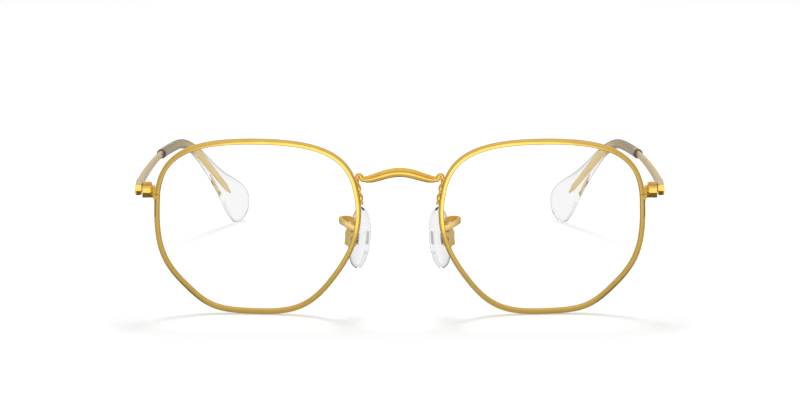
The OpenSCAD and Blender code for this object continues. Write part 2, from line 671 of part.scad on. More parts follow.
// The wire's flat side turns from the loop's own plane to the back of the box
arm_flat = in_pad([1, 0, 0]) - in_pad([0, 0, 0]);
function arm_ring(t) =
    let (p = arm_line(t), w = unit(arm_way(t)))
    let (m = t < 1 ? [w.y, -w.x, 0] : [2 - t, 0, 0] + (t - 1) * arm_flat)
    let (n = unit(m - (m * w) * w), u = cross(n, w))
    let (a = arm_t / 2, b = arm_h / 2, e = a * 0.75, g = b * 0.9)
    [for (q = [[a, -g], [a, g], [e, b], [-e, b], [-a, g], [-a, -g], [-e, -b], [e, -b]])
        p + q.x * n + q.y * u];
module pad_arm() {
    color(gold) front_frame() loft([for (k = [0 : 20]) arm_ring(k / 10)]);
}

rim();  // rim_left
other_side() rim();  // rim_right
lens();  // lens_left
other_side() lens();  // lens_right
bridge();
block_upper();  // block_upper_left
other_side() block_upper();  // block_upper_right
block_lower();  // block_lower_left
other_side() block_lower();  // block_lower_right
closing_screw();  // closing_screw_left
other_side() closing_screw();  // closing_screw_right
hinge_front();  // hinge_front_left
other_side() hinge_front();  // hinge_front_right
hinge_rear();  // hinge_rear_left
other_side() hinge_rear();  // hinge_rear_right
hinge_screw();  // hinge_screw_left
other_side() hinge_screw();  // hinge_screw_right
temple();  // temple_left
other_side() temple();  // temple_right
temple_tip();  // temple_tip_left
other_side() temple_tip();  // temple_tip_right
pad_arm();  // pad_arm_left
other_side() pad_arm();  // pad_arm_right
pad_box();  // pad_box_left
other_side() pad_box();  // pad_box_right
pad_screw();  // pad_screw_left
other_side() pad_screw();  // pad_screw_right
pad_lug();  // pad_lug_left
other_side() pad_lug();  // pad_lug_right
nose_pad();  // nose_pad_left
other_side() nose_pad();  // nose_pad_right
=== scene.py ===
"""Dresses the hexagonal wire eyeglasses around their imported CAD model.

The glasses stand open on a table, on the lower edges of both rims and on both temple tips.
Shapes are worked out with numpy in millimetres, from the same named sizes as the CAD model,
in the CAD model's own frame: X to the wearer's left, Y backwards, Z up from the table. They
are placed by the CAD model's boxes and joints and become metres when they become meshes.
"""

from __future__ import annotations

import json
import logging
import math
from dataclasses import dataclass, field
from enum import Enum
from typing import Any, Callable, Sequence

import bmesh
import bpy
import numpy as np
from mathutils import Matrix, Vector

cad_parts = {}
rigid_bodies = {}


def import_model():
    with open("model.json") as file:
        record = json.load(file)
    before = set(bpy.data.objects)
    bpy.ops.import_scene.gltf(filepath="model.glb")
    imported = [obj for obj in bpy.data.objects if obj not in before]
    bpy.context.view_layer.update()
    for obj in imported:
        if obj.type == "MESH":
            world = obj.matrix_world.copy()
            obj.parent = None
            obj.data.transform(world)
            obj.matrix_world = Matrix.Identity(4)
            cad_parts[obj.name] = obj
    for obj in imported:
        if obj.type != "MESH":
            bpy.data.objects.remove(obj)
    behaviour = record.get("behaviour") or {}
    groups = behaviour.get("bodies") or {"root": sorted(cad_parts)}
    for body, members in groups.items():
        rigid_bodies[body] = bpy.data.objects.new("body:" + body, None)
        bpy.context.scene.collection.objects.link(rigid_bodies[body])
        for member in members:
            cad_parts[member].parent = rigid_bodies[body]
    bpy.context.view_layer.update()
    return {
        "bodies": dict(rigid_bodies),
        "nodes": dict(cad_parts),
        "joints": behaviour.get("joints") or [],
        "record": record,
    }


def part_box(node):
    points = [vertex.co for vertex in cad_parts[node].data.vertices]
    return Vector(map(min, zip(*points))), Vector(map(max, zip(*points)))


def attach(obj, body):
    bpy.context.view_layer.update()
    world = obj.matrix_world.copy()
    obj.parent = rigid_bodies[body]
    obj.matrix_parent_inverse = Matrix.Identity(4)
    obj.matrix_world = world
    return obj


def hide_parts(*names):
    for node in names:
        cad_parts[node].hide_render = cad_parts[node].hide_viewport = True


MM = 0.001
# The mesh attribute that carries the rim's milled satin band and its painted shade.
BAND = "milled_band"
# The Mix node's colour sockets, whose names its sockets of other kinds bear too.
MIX_FIRST, MIX_SECOND, MIX_RESULT = 6, 7, 2
# Between these places, in metres, the second tones fade in: the painted shade down the block's leg and
# the satin along the temple.
LEG_TOP = (0.0292, 0.0296)
SATIN_FROM = (-0.056, -0.05)
log = logging.getLogger("eyeglasses")

Points = np.ndarray
Colour = tuple[float, float, float]


class Side(Enum):
    """The wearer's two sides, with the sign of X on each."""

    LEFT = 1
    RIGHT = -1

    @property
    def word(self) -> str:
        """The side's name as the CAD nodes and bodies use it."""
        return self.name.lower()


class Axis(Enum):
    """The axes of the frame, by their place in a point."""

    X = 0
    Y = 1
    Z = 2


# ---------------------------------------------------------------- shader expressions


class Signal:
    """One output of a shader node, used in sums as if it were a number."""

    def __init__(self, recipe: Recipe, socket: bpy.types.NodeSocket | None) -> None:
        """Keeps the socket and the recipe that its Math nodes go into."""
        self.recipe = recipe
        self.socket = socket

    def _math(self, operation: str, first: Any, second: Any) -> Signal:
        """Adds one Math node for an operation on two signals or numbers."""
        return self.recipe.node("ShaderNodeMath", {"operation": operation}, {0: first, 1: second})

    def __add__(self, other: Any) -> Signal:
        """Sum."""
        return self._math("ADD", self, other)

    __radd__ = __add__

    def __sub__(self, other: Any) -> Signal:
        """Difference."""
        return self._math("SUBTRACT", self, other)

    def __rsub__(self, other: Any) -> Signal:
        """Difference with the signal on the right."""
        return self._math("SUBTRACT", other, self)

    def __mul__(self, other: Any) -> Signal:
        """Product."""
        return self._math("MULTIPLY", self, other)

    __rmul__ = __mul__

    def size(self) -> Signal:
        """The number without its sign."""
        return self._math("ABSOLUTE", self, 0.0)

    def most(self, other: Any) -> Signal:
        """The larger of the two."""
        return self._math("MAXIMUM", self, other)


class Recipe:
    """A node tree that is written node by node, as expressions."""

    def __init__(self, tree: bpy.types.NodeTree) -> None:
        """Empties the tree and keeps it."""
        tree.nodes.clear()
        self.tree = tree

    def node(
        self,
        kind: str,
        settings: dict[str, Any] | None = None,
        sockets: dict[int | str, Any] | None = None,
        output: int | str = 0,
    ) -> Signal:
        """Adds one node.

        Args:
            kind: the node's type.
            settings: its properties, such as a Math node's operation, which are set first.
            sockets: values or signals for its inputs.
            output: the output that the signal stands for.

        Returns:
            The node's output.
        """
        node = self.tree.nodes.new(kind)
        for key, value in (settings or {}).items():
            setattr(node, key, value)
        for key, value in (sockets or {}).items():
            if isinstance(value, Signal):
                self.tree.links.new(value.socket, node.inputs[key])
            elif node.inputs[key].type == "RGBA":
                node.inputs[key].default_value = (*value, 1.0)
            else:
                node.inputs[key].default_value = value
        return Signal(self, node.outputs[output] if len(node.outputs) else None)

    def blend(self, share: Any, first: Any, second: Any) -> Signal:
        """Mixes two colours: the second one has the given share."""
        sockets = {0: share, MIX_FIRST: first, MIX_SECOND: second}
        return self.node("ShaderNodeMix", {"data_type": "RGBA"}, sockets, MIX_RESULT)

    def either(self, share: Any, first: Signal, second: Signal) -> Signal:
        """Mixes two shaders: the second one has the given share."""
        return self.node("ShaderNodeMixShader", sockets={0: share, 1: first, 2: second})

    def between(self, value: Any, low: float, high: float) -> Signal:
        """Rises smoothly from 0 where the value is low to 1 where it is high.

        Args:
            value: what decides.
            low: where the result is 0.
            high: where it is 1.

        Returns:
            The result, from 0 to 1.
        """
        return self.node(
            "ShaderNodeMapRange",
            {"interpolation_type": "SMOOTHSTEP"},
            {"Value": value, "From Min": low, "From Max": high},
        )

    def noise(self, scale: float, detail: float = 2.0, stretch: Sequence[float] = (1, 1, 1)) -> Signal:
        """Seeded noise from 0 to 1 on Object coordinates.

        Args:
            scale: waves in a metre.
            detail: octaves.
            stretch: factors on the three axes; a small one draws the noise out along its axis.

        Returns:
            The noise.
        """
        where = self.node("ShaderNodeTexCoord", output="Object")
        placed = self.node("ShaderNodeMapping", sockets={"Vector": where, "Scale": tuple(stretch)})
        return self.node(
            "ShaderNodeTexNoise", sockets={"Vector": placed, "Scale": scale, "Detail": detail}
        )

    def place(self, axis: Axis) -> Signal:
        """One Object coordinate, in metres."""
        where = self.node("ShaderNodeTexCoord", output="Object")
        return self.node("ShaderNodeSeparateXYZ", sockets={0: where}, output=axis.value)

    def light_path(self, output: str) -> Signal:
        """One output of the Light Path node."""
        return self.node("ShaderNodeLightPath", output=output)

    def mirrored(self) -> Signal:
        """1 for rays that gloss threw back, and 0 for all others, also for those through glass."""
        return self.light_path("Is Glossy Ray") * (1.0 - self.light_path("Is Transmission Ray"))

    def slanted(self, blend: float) -> Signal:
        """0 where the surface is seen square on and 1 where it is seen edge on."""
        return self.node("ShaderNodeLayerWeight", sockets={"Blend": blend}, output="Facing")

    def ends(self, surface: Signal, output: str = "ShaderNodeOutputMaterial") -> None:
        """Links the finished shader to the output node."""
        self.node(output, sockets={"Surface": surface})

    def metal(
        self, colour: Signal, roughness: Signal, relief: Signal, strength: float, height: float
    ) -> None:
        """Ends the tree in a bare metal with fine marks.

        Args:
            colour: its colour.
            roughness: its roughness.
            relief: the marks, from 0 to 1.
            strength: how strongly they show.
            height: their height, in metres.
        """
        marks = {"Strength": strength, "Distance": height, "Height": relief}
        bump = self.node("ShaderNodeBump", sockets=marks)
        sockets = {"Base Color": colour, "Metallic": 1.0, "Roughness": roughness, "Normal": bump}
        self.ends(self.node("ShaderNodeBsdfPrincipled", sockets=sockets))


def new_material(name: str) -> tuple[bpy.types.Material, Recipe]:
    """Makes an empty node material and its recipe.

    Args:
        name: its name.

    Returns:
        The material, and the recipe of its nodes.
    """
    material = bpy.data.materials.new(name)
    material.use_nodes = True
    return material, Recipe(material.node_tree)


# ---------------------------------------------------------------- finishes


@dataclass(frozen=True)
class Gold:
    """Gold plating over polished or brushed wire, with faint clouding and fine polishing marks.

    A second tone lies where the toned() signal is 1: in the rim's milled band, as painted shade on the
    rim's temple side and lower half and on the block's leg, or on the satin part of the temple.
    """

    name: str
    colour: Colour = (0.92, 0.62, 0.14)
    clouded: Colour = (0.88, 0.56, 0.12)
    cloud_waves: float = 220.0
    cloud_from: float = 0.35
    cloud_to: float = 0.75
    roughness: float = 0.15
    cloud_rough: float = 0.12
    mark_rough: float = 0.08
    mark_waves: float = 5200.0
    marks: float = 0.05
    mark_height: float = 0.00004
    stretch: tuple[float, float, float] = (1.0, 1.0, 1.0)
    tone: Colour = (0.78, 0.52, 0.125)
    tone_roughness: float = 0.4
    toned: Callable[[Recipe], Signal] | None = None

    def material(self) -> bpy.types.Material:
        """Builds the material.

        Returns:
            The material.
        """
        material, recipe = new_material(self.name)
        cloud = recipe.noise(self.cloud_waves, 3.0)
        fine = recipe.noise(self.mark_waves, 2.0, self.stretch)
        cloudy = recipe.between(cloud, self.cloud_from, self.cloud_to)
        colour = recipe.blend(cloudy, self.colour, self.clouded)
        roughness = self.roughness + (cloud - 0.5) * self.cloud_rough + (fine - 0.5) * self.mark_rough
        if self.toned:
            share = self.toned(recipe)
            colour = recipe.blend(share, colour, self.tone)
            roughness = roughness + share * (self.tone_roughness - self.roughness)
        recipe.metal(colour, roughness, fine, self.marks, self.mark_height)
        return material


@dataclass(frozen=True)
class Steel:
    """Bare steel of small screws and lugs, turned and slightly dulled."""

    name: str
    colour: Colour = (0.60, 0.60, 0.62)
    clouded: Colour = (0.45, 0.45, 0.47)
    cloud_waves: float = 900.0
    roughness: float = 0.28
    mark_rough: float = 0.2
    mark_waves: float = 7000.0
    marks: float = 0.12
    mark_height: float = 0.00003
    stretch: tuple[float, float, float] = (1.0, 1.0, 0.15)

    def material(self) -> bpy.types.Material:
        """Builds the material.

        Returns:
            The material.
        """
        material, recipe = new_material(self.name)
        cloud = recipe.noise(self.cloud_waves, 3.0)
        turned = recipe.noise(self.mark_waves, 2.0, self.stretch)
        roughness = self.roughness + (turned - 0.5) * self.mark_rough
        colour = recipe.blend(cloud, self.colour, self.clouded)
        recipe.metal(colour, roughness, turned, self.marks, self.mark_height)
        return material


@dataclass(frozen=True)
class ClearPlastic:
    """Clear moulded plastic: greyer where it is seen edge on, a painted reflection, with a light
    shadow.
    """

    name: str
    tint: Colour = (0.835, 0.835, 0.838)
    edge: Colour = (0.14, 0.135, 0.13)
    edge_from: float = 0.5
    edge_to: float = 0.86
    index: float = 1.21
    roughness: float = 0.03
    haze: float = 0.03
    haze_waves: float = 400.0
    shadow: Colour = (0.25, 0.25, 0.26)

    def material(self) -> bpy.types.Material:
        """Builds the material.

        Returns:
            The material.
        """
        material, recipe = new_material(self.name)
        haze = recipe.noise(self.haze_waves)
        # Painted reflection: the colour turns to the dark edge colour where the surface is seen edge
        # on.
        edge_reflection = recipe.between(recipe.slanted(0.5), self.edge_from, self.edge_to)
        glass = recipe.node(
            "ShaderNodeBsdfPrincipled",
            sockets={
                "Base Color": recipe.blend(edge_reflection, self.tint, self.edge),
                "Transmission Weight": 1.0,
                "IOR": self.index,
                "Roughness": self.roughness + haze * self.haze,
            },
        )
        film = recipe.node("ShaderNodeBsdfTransparent", sockets={"Color": self.shadow})
        recipe.ends(recipe.either(recipe.light_path("Is Shadow Ray"), glass, film))
        return material


@dataclass(frozen=True)
class LensCoat:
    """Thin clear lens: nearly all light passes straight through, with a faint coated gloss."""

    name: str
    passed: Colour = (0.992, 0.995, 0.992)
    gloss: Colour = (0.92, 0.97, 0.95)
    slant: float = 0.06
    roughness: float = 0.03
    smear: float = 0.05
    smear_waves: float = 60.0
    smear_stretch: tuple[float, float, float] = (1.0, 1.0, 0.5)

    def material(self) -> bpy.types.Material:
        """Builds the material.

        Returns:
            The material.
        """
        material, recipe = new_material(self.name)
        smear = recipe.between(recipe.noise(self.smear_waves, 3.0, self.smear_stretch), 0.5, 0.8)
        sockets = {"Color": self.gloss, "Roughness": self.roughness + smear * self.smear}
        gloss = recipe.node("ShaderNodeBsdfGlossy", sockets=sockets)
        through = recipe.node("ShaderNodeBsdfTransparent", sockets={"Color": self.passed})
        recipe.ends(recipe.either(recipe.slanted(self.slant), through, gloss))
        return material


@dataclass(frozen=True)
class Moulded:
    """Cloudy plastic at the mouth of the tips, where the sleeve grips the wire."""

    name: str
    colour: Colour
    roughness: float = 0.3
    cloud_rough: float = 0.2
    cloud_waves: float = 1500.0

    def material(self) -> bpy.types.Material:
        """Builds the material.

        Returns:
            The material.
        """
        material, recipe = new_material(self.name)
        rough = self.roughness + recipe.noise(self.cloud_waves) * self.cloud_rough
        sockets = {"Base Color": self.colour, "Roughness": rough}
        recipe.ends(recipe.node("ShaderNodeBsdfPrincipled", sockets=sockets))
        return material


def milled(recipe: Recipe) -> Signal:
    """How satin the rim is and how much painted shade it bears, which its mesh carries at each point.
    """
    return recipe.node("ShaderNodeAttribute", {"attribute_name": BAND}, output="Fac")


def below_block(recipe: Recipe) -> Signal:
    """1 on the leg below the closing block, which is darkened there by painted shade."""
    return 1.0 - recipe.between(recipe.place(Axis.Z), *LEG_TOP)


def behind_head(recipe: Recipe) -> Signal:
    """1 on the satin wire behind the temple's polished head."""
    return recipe.between(recipe.place(Axis.Y), *SATIN_FROM)


class Finishes:
    """Every finish of the glasses, each made once."""

    def __init__(self) -> None:
        """Builds the materials."""
        # The rim's second tone is its milled satin band and, on the temple side and below, painted
        # shade.
        self.rim = Gold("plated_rim", toned=milled).material()
        self.bridge = Gold(
            "plated_bridge", colour=(0.92, 0.59, 0.12), clouded=(0.84, 0.48, 0.09), roughness=0.2
        ).material()
        # The block's dark second tone on its leg is painted shade.
        self.block = Gold("plated_block", tone=(0.42, 0.27, 0.06), toned=below_block).material()
        self.hinge = Gold("plated_hinge", roughness=0.2).material()
        self.temple = Gold(
            "plated_temple",
            stretch=(1.0, 0.06, 1.0),
            tone=(0.9, 0.71, 0.38),
            tone_roughness=0.38,
            toned=behind_head,
        ).material()
        self.arm = Gold(
            "plated_arm", colour=(0.92, 0.68, 0.27), clouded=(0.9, 0.62, 0.2), roughness=0.3
        ).material()
        self.steel = Steel("screw_steel").material()
        self.chrome = Steel("lug_chrome", colour=(0.72, 0.72, 0.74), roughness=0.16).material()
        self.tip = ClearPlastic("tip_plastic").material()
        self.lip = Moulded("tip_lip", (0.17, 0.16, 0.15)).material()
        self.mouth = Moulded("tip_mouth", (0.5, 0.42, 0.28)).material()
        # The pads' near-black edge colour is a painted reflection where they are seen edge on.
        self.pad = ClearPlastic(
            "pad_plastic",
            tint=(0.82, 0.82, 0.825),
            edge=(0.015, 0.015, 0.018),
            edge_from=0.42,
            edge_to=0.76,
            index=1.24,
            shadow=(0.8, 0.8, 0.8),
        ).material()
        self.lens = LensCoat("lens_coat").material()
        self.lens_edge = LensCoat("lens_edge", slant=0.02).material()


# ---------------------------------------------------------------- curves and skins


def bezier(a: Any, b: Any, c: Any, d: Any, t: Points) -> Points:
    """Cubic curve with end points a and d and handles b and c, at the parameters t."""
    return (1 - t) ** 3 * a + 3 * (1 - t) ** 2 * t * b + 3 * (1 - t) * t**2 * c + t**3 * d


def bezier_way(a: Any, b: Any, c: Any, d: Any, t: Points) -> Points:
    """Direction of that curve: its derivative, to a factor."""
    return (1 - t) ** 2 * (b - a) + 2 * (1 - t) * t * (c - b) + t**2 * (d - c)


def unit(v: Points) -> Points:
    """Vectors scaled to length 1 along the last axis."""
    return v / np.linalg.norm(v, axis=-1, keepdims=True)


def turned(p: Points, axis: Axis, degrees: float) -> Points:
    """Points turned about an axis: of the two that follow it, i gets i c - j s and j gets i s + j c.

    Args:
        p: the points.
        axis: the axis.
        degrees: the angle.

    Returns:
        The turned points.
    """
    c, s = math.cos(math.radians(degrees)), math.sin(math.radians(degrees))
    i, j = (axis.value + 1) % 3, (axis.value + 2) % 3
    made = np.array(p, float)
    made[..., i] = p[..., i] * c - p[..., j] * s
    made[..., j] = p[..., i] * s + p[..., j] * c
    return made


def circle(count: int) -> tuple[Points, Points]:
    """Cosines and sines of angles that are spread evenly round a circle."""
    a = np.arange(count) / count * 2 * np.pi
    return np.cos(a), np.sin(a)


def swollen(v: Points, power: Any) -> Points:
    """Raises numbers to a power and keeps their signs, which makes a circle a superellipse."""
    return np.sign(v) * np.abs(v) ** power


def smooth(t: Points) -> Points:
    """Rises from 0 at 0 to 1 at 1 with level ends: 3 c^2 - 2 c^3."""
    c = np.clip(t, 0.0, 1.0)
    return c * c * (3 - 2 * c)


def flowing(f: Points, shares: Points, reach: float) -> Points:
    """A run of shares from 0 to 1 with its corners rounded off.

    The straight run between the given points is averaged over the reach to both sides, with
    weights that follow 1 + cos.

    Args:
        f: places between 0 and 1.
        shares: rows of (place, share).
        reach: how far the average reaches.

    Returns:
        The shares at the places.
    """
    fine = np.linspace(0, 1, 401)
    half = round(reach * 400)
    weights = np.hanning(2 * half + 3)[1:-1]
    run = np.pad(np.interp(fine, shares[:, 0], shares[:, 1]), half, mode="edge")
    return np.interp(f, fine, np.convolve(run, weights / weights.sum(), mode="valid"))


def eased(corners: Points, ease: float, steps: int = 3) -> Points:
    """Rounds the corners of a closed flat outline.

    Each corner becomes a quadratic curve between the points that lie the easing distance, and
    at most 0.45 of the side, away from it: (1-t)^2 P + 2 t (1-t) C + t^2 Q.

    Args:
        corners: outline points, one row each.
        ease: distance from a corner at which its rounding starts.
        steps: points that each corner becomes.

    Returns:
        The rounded outline.
    """
    before = np.roll(corners, 1, axis=0) - corners
    after = np.roll(corners, -1, axis=0) - corners
    long_b = np.linalg.norm(before, axis=1, keepdims=True)
    long_a = np.linalg.norm(after, axis=1, keepdims=True)
    p = corners + before * np.minimum(ease / long_b, 0.45)
    q = corners + after * np.minimum(ease / long_a, 0.45)
    t = np.linspace(0.0, 1.0, steps)[None, :, None]
    curve = (1 - t) ** 2 * p[:, None] + 2 * t * (1 - t) * corners[:, None] + t**2 * q[:, None]
    return curve.reshape(-1, corners.shape[1])


@dataclass
class Skin:
    """A closed skin over rings of points: vertices, four-sided faces and end triangles."""

    points: Points
    quads: Points
    triangles: Points

    @classmethod
    def over(cls, rings: Points) -> Skin:
        """Lays a skin over rings of equal count, with a fan of triangles over each end.

        Args:
            rings: array of rings by points by three.

        Returns:
            The skin, turned so that its faces point outwards.
        """
        rows, columns = rings.shape[:2]
        middles = np.stack([rings[0].mean(0), rings[-1].mean(0)])
        i = np.arange(rows - 1)[:, None] * columns
        j = np.arange(columns)
        k = (j + 1) % columns
        quads = np.stack([i + j, i + k, i + columns + k, i + columns + j], -1).reshape(-1, 4)
        base = (rows - 1) * columns
        first = np.stack([np.full(columns, rows * columns), k, j], -1)
        last = np.stack([np.full(columns, rows * columns + 1), base + j, base + k], -1)
        points = np.vstack([rings.reshape(-1, 3), middles])
        return cls(points, quads, np.vstack([first, last])).outward()

    def corners(self) -> Points:
        """The faces as triangles, for measuring."""
        halves = np.vstack([self.quads[:, [0, 1, 2]], self.quads[:, [0, 2, 3]]])
        return np.vstack([halves, self.triangles])

    def outward(self) -> Skin:
        """Turns all faces round where the enclosed volume comes out negative.

        Returns:
            The skin itself.
        """
        a, b, c = np.moveaxis(self.points[self.corners()], 1, 0)
        if np.einsum("ij,ij->i", a, np.cross(b, c)).sum() < 0:
            self.quads = self.quads[:, ::-1].copy()
            self.triangles = self.triangles[:, ::-1].copy()
        return self

    def on(self, side: Side) -> Skin:
        """The same skin on the given side: the right one is the mirror image."""
        points = self.points * np.array([side.value, 1, 1])
        return Skin(points, self.quads.copy(), self.triangles.copy()).outward()

    def joined(self, other: Skin) -> Skin:
        """Both skins as one.

        Args:
            other: the skin that is added.

        Returns:
            A skin with the faces of both.
        """
        shift = len(self.points)
        return Skin(
            np.vstack([self.points, other.points]),
            np.vstack([self.quads, other.quads + shift]),
            np.vstack([self.triangles, other.triangles + shift]),
        )


@dataclass(frozen=True)
class Seat:
    """Where a piece belongs: its slot, the CAD node that it stands for and the body it rides on."""

    slot: str
    node: str
    body: str = "front"


def in_scene(name: str, data: bpy.types.ID) -> bpy.types.Object:
    """Makes an object of a mesh, a lamp or a camera and links it to the scene.

    Args:
        name: the object's name.
        data: what it is made of.

    Returns:
        The object.
    """
    made = bpy.data.objects.new(name, data)
    bpy.context.scene.collection.objects.link(made)
    return made


class Workshop:
    """Turns skins and CAD nodes into finished pieces that ride on the CAD bodies.

    Points of a CAD node are merged within a distance in metres, faces that meet at less than the
    flat angle become one, and edges above the sharp angle are eased; both angles are in degrees.
    """

    merged: float = 0.5e-6
    flat: float = 0.5
    sharp: float = 30.0

    def __init__(self, frame: dict[str, Any]) -> None:
        """Keeps the loaded frame."""
        self.frame = frame
        self.made: list[bpy.types.Object] = []

    def _seated(
        self, kind: str, mesh: bpy.types.Mesh, material: bpy.types.Material, seat: Seat
    ) -> bpy.types.Object:
        """Makes a mesh a piece, named for its node and kind, with its finish and body, and hides its
        CAD node.

        Args:
            kind: the last word of its name, after its node's.
            mesh: its mesh.
            material: its finish.
            seat: where it belongs.

        Returns:
            The Blender object.
        """
        piece = in_scene(f"{seat.node}_{kind}", mesh)
        mesh.name = piece.name
        mesh.materials.clear()
        mesh.materials.append(material)
        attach(piece, seat.body)
        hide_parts(seat.node)
        self.made.append(piece)
        log.info("%s: %d faces, for %s", piece.name, len(mesh.polygons), seat.node)
        return piece

    def piece(
        self,
        kind: str,
        skin: Skin,
        material: bpy.types.Material,
        seat: Seat,
        crease: float,
        patches: Sequence[tuple[bpy.types.Material, int, int]] = (),
    ) -> bpy.types.Object:
        """Makes a piece from a skin.

        Args:
            kind: the last word of its name, after its node's.
            skin: its surface, in millimetres.
            material: its finish.
            seat: where it belongs.
            crease: edges sharper than this many degrees stay sharp.
            patches: other finishes, each with its first face and the one after its last.

        Returns:
            The Blender object.
        """
        mesh = bpy.data.meshes.new(kind)
        loops = np.concatenate([skin.quads.ravel(), skin.triangles.ravel()]).astype(np.int32)
        totals = np.concatenate([np.full(len(skin.quads), 4), np.full(len(skin.triangles), 3)])
        starts = np.concatenate([[0], np.cumsum(totals)[:-1]])
        mesh.vertices.add(len(skin.points))
        mesh.vertices.foreach_set("co", (skin.points * MM).astype(np.float32).ravel())
        mesh.loops.add(len(loops))
        mesh.loops.foreach_set("vertex_index", loops)
        mesh.polygons.add(len(totals))
        mesh.polygons.foreach_set("loop_start", starts.astype(np.int32))
        mesh.polygons.foreach_set("use_smooth", np.ones(len(totals), bool))
        mesh.update(calc_edges=True)
        mesh.validate()
        mesh.set_sharp_from_angle(angle=math.radians(crease))
        piece = self._seated(kind, mesh, material, seat)
        finish = np.zeros(len(totals), np.int32)
        for number, (other, first, end) in enumerate(patches, 1):
            mesh.materials.append(other)
            finish[first:end] = number
        mesh.polygons.foreach_set("material_index", finish)
        return piece

    def machined(self, material: bpy.types.Material, seat: Seat, ease: float) -> None:
        """Makes a piece from a copy of its CAD node, merged and with its edges eased.

        Args:
            material: its finish.
            seat: where it belongs.
            ease: width of the eased edges, in millimetres.
        """
        mesh = self.frame["nodes"][seat.node].data.copy()
        shape = bmesh.new()
        shape.from_mesh(mesh)
        bmesh.ops.remove_doubles(shape, verts=shape.verts, dist=self.merged)
        flat, sharp = math.radians(self.flat), math.radians(self.sharp)
        bmesh.ops.dissolve_limit(shape, angle_limit=flat, verts=shape.verts, edges=shape.edges)
        shape.to_mesh(mesh)
        shape.free()
        mesh.polygons.foreach_set("use_smooth", np.ones(len(mesh.polygons), bool))
        mesh.set_sharp_from_angle(angle=sharp)
        piece = self._seated("made", mesh, material, seat)
        bevel = piece.modifiers.new("eased edges", "BEVEL")
        bevel.width = ease * MM
        bevel.segments = 2
        bevel.limit_method = "ANGLE"
        bevel.angle_limit = sharp
        piece.modifiers.new("even shading", "WEIGHTED_NORMAL").keep_sharp = True


# ---------------------------------------------------------------- lens outline and the front


CORNER_SHARES = np.array(
    [
        [0.969, 0.969], [-0.843, 1.005], [-1.063, -0.042], [-0.479, -1.012], [0.485, -1.004],
        [1.032, -0.354],
    ]
)
ROUND_SHARES = np.array([0.285, 0.287, 0.303, 0.192, 0.087, 0.212])
CORNERS = len(CORNER_SHARES)
# Runs of the place t along the opening's edge, where corner j lies at j + 0.5, and how many
# places are searched on each.
NOSE_SIDE = (1.5, 3.0)
SCROLL_SIDE = (1.5, 2.5)
TEMPLE_SIDE = (-1.0, 1.0)
SEARCHED = 4000


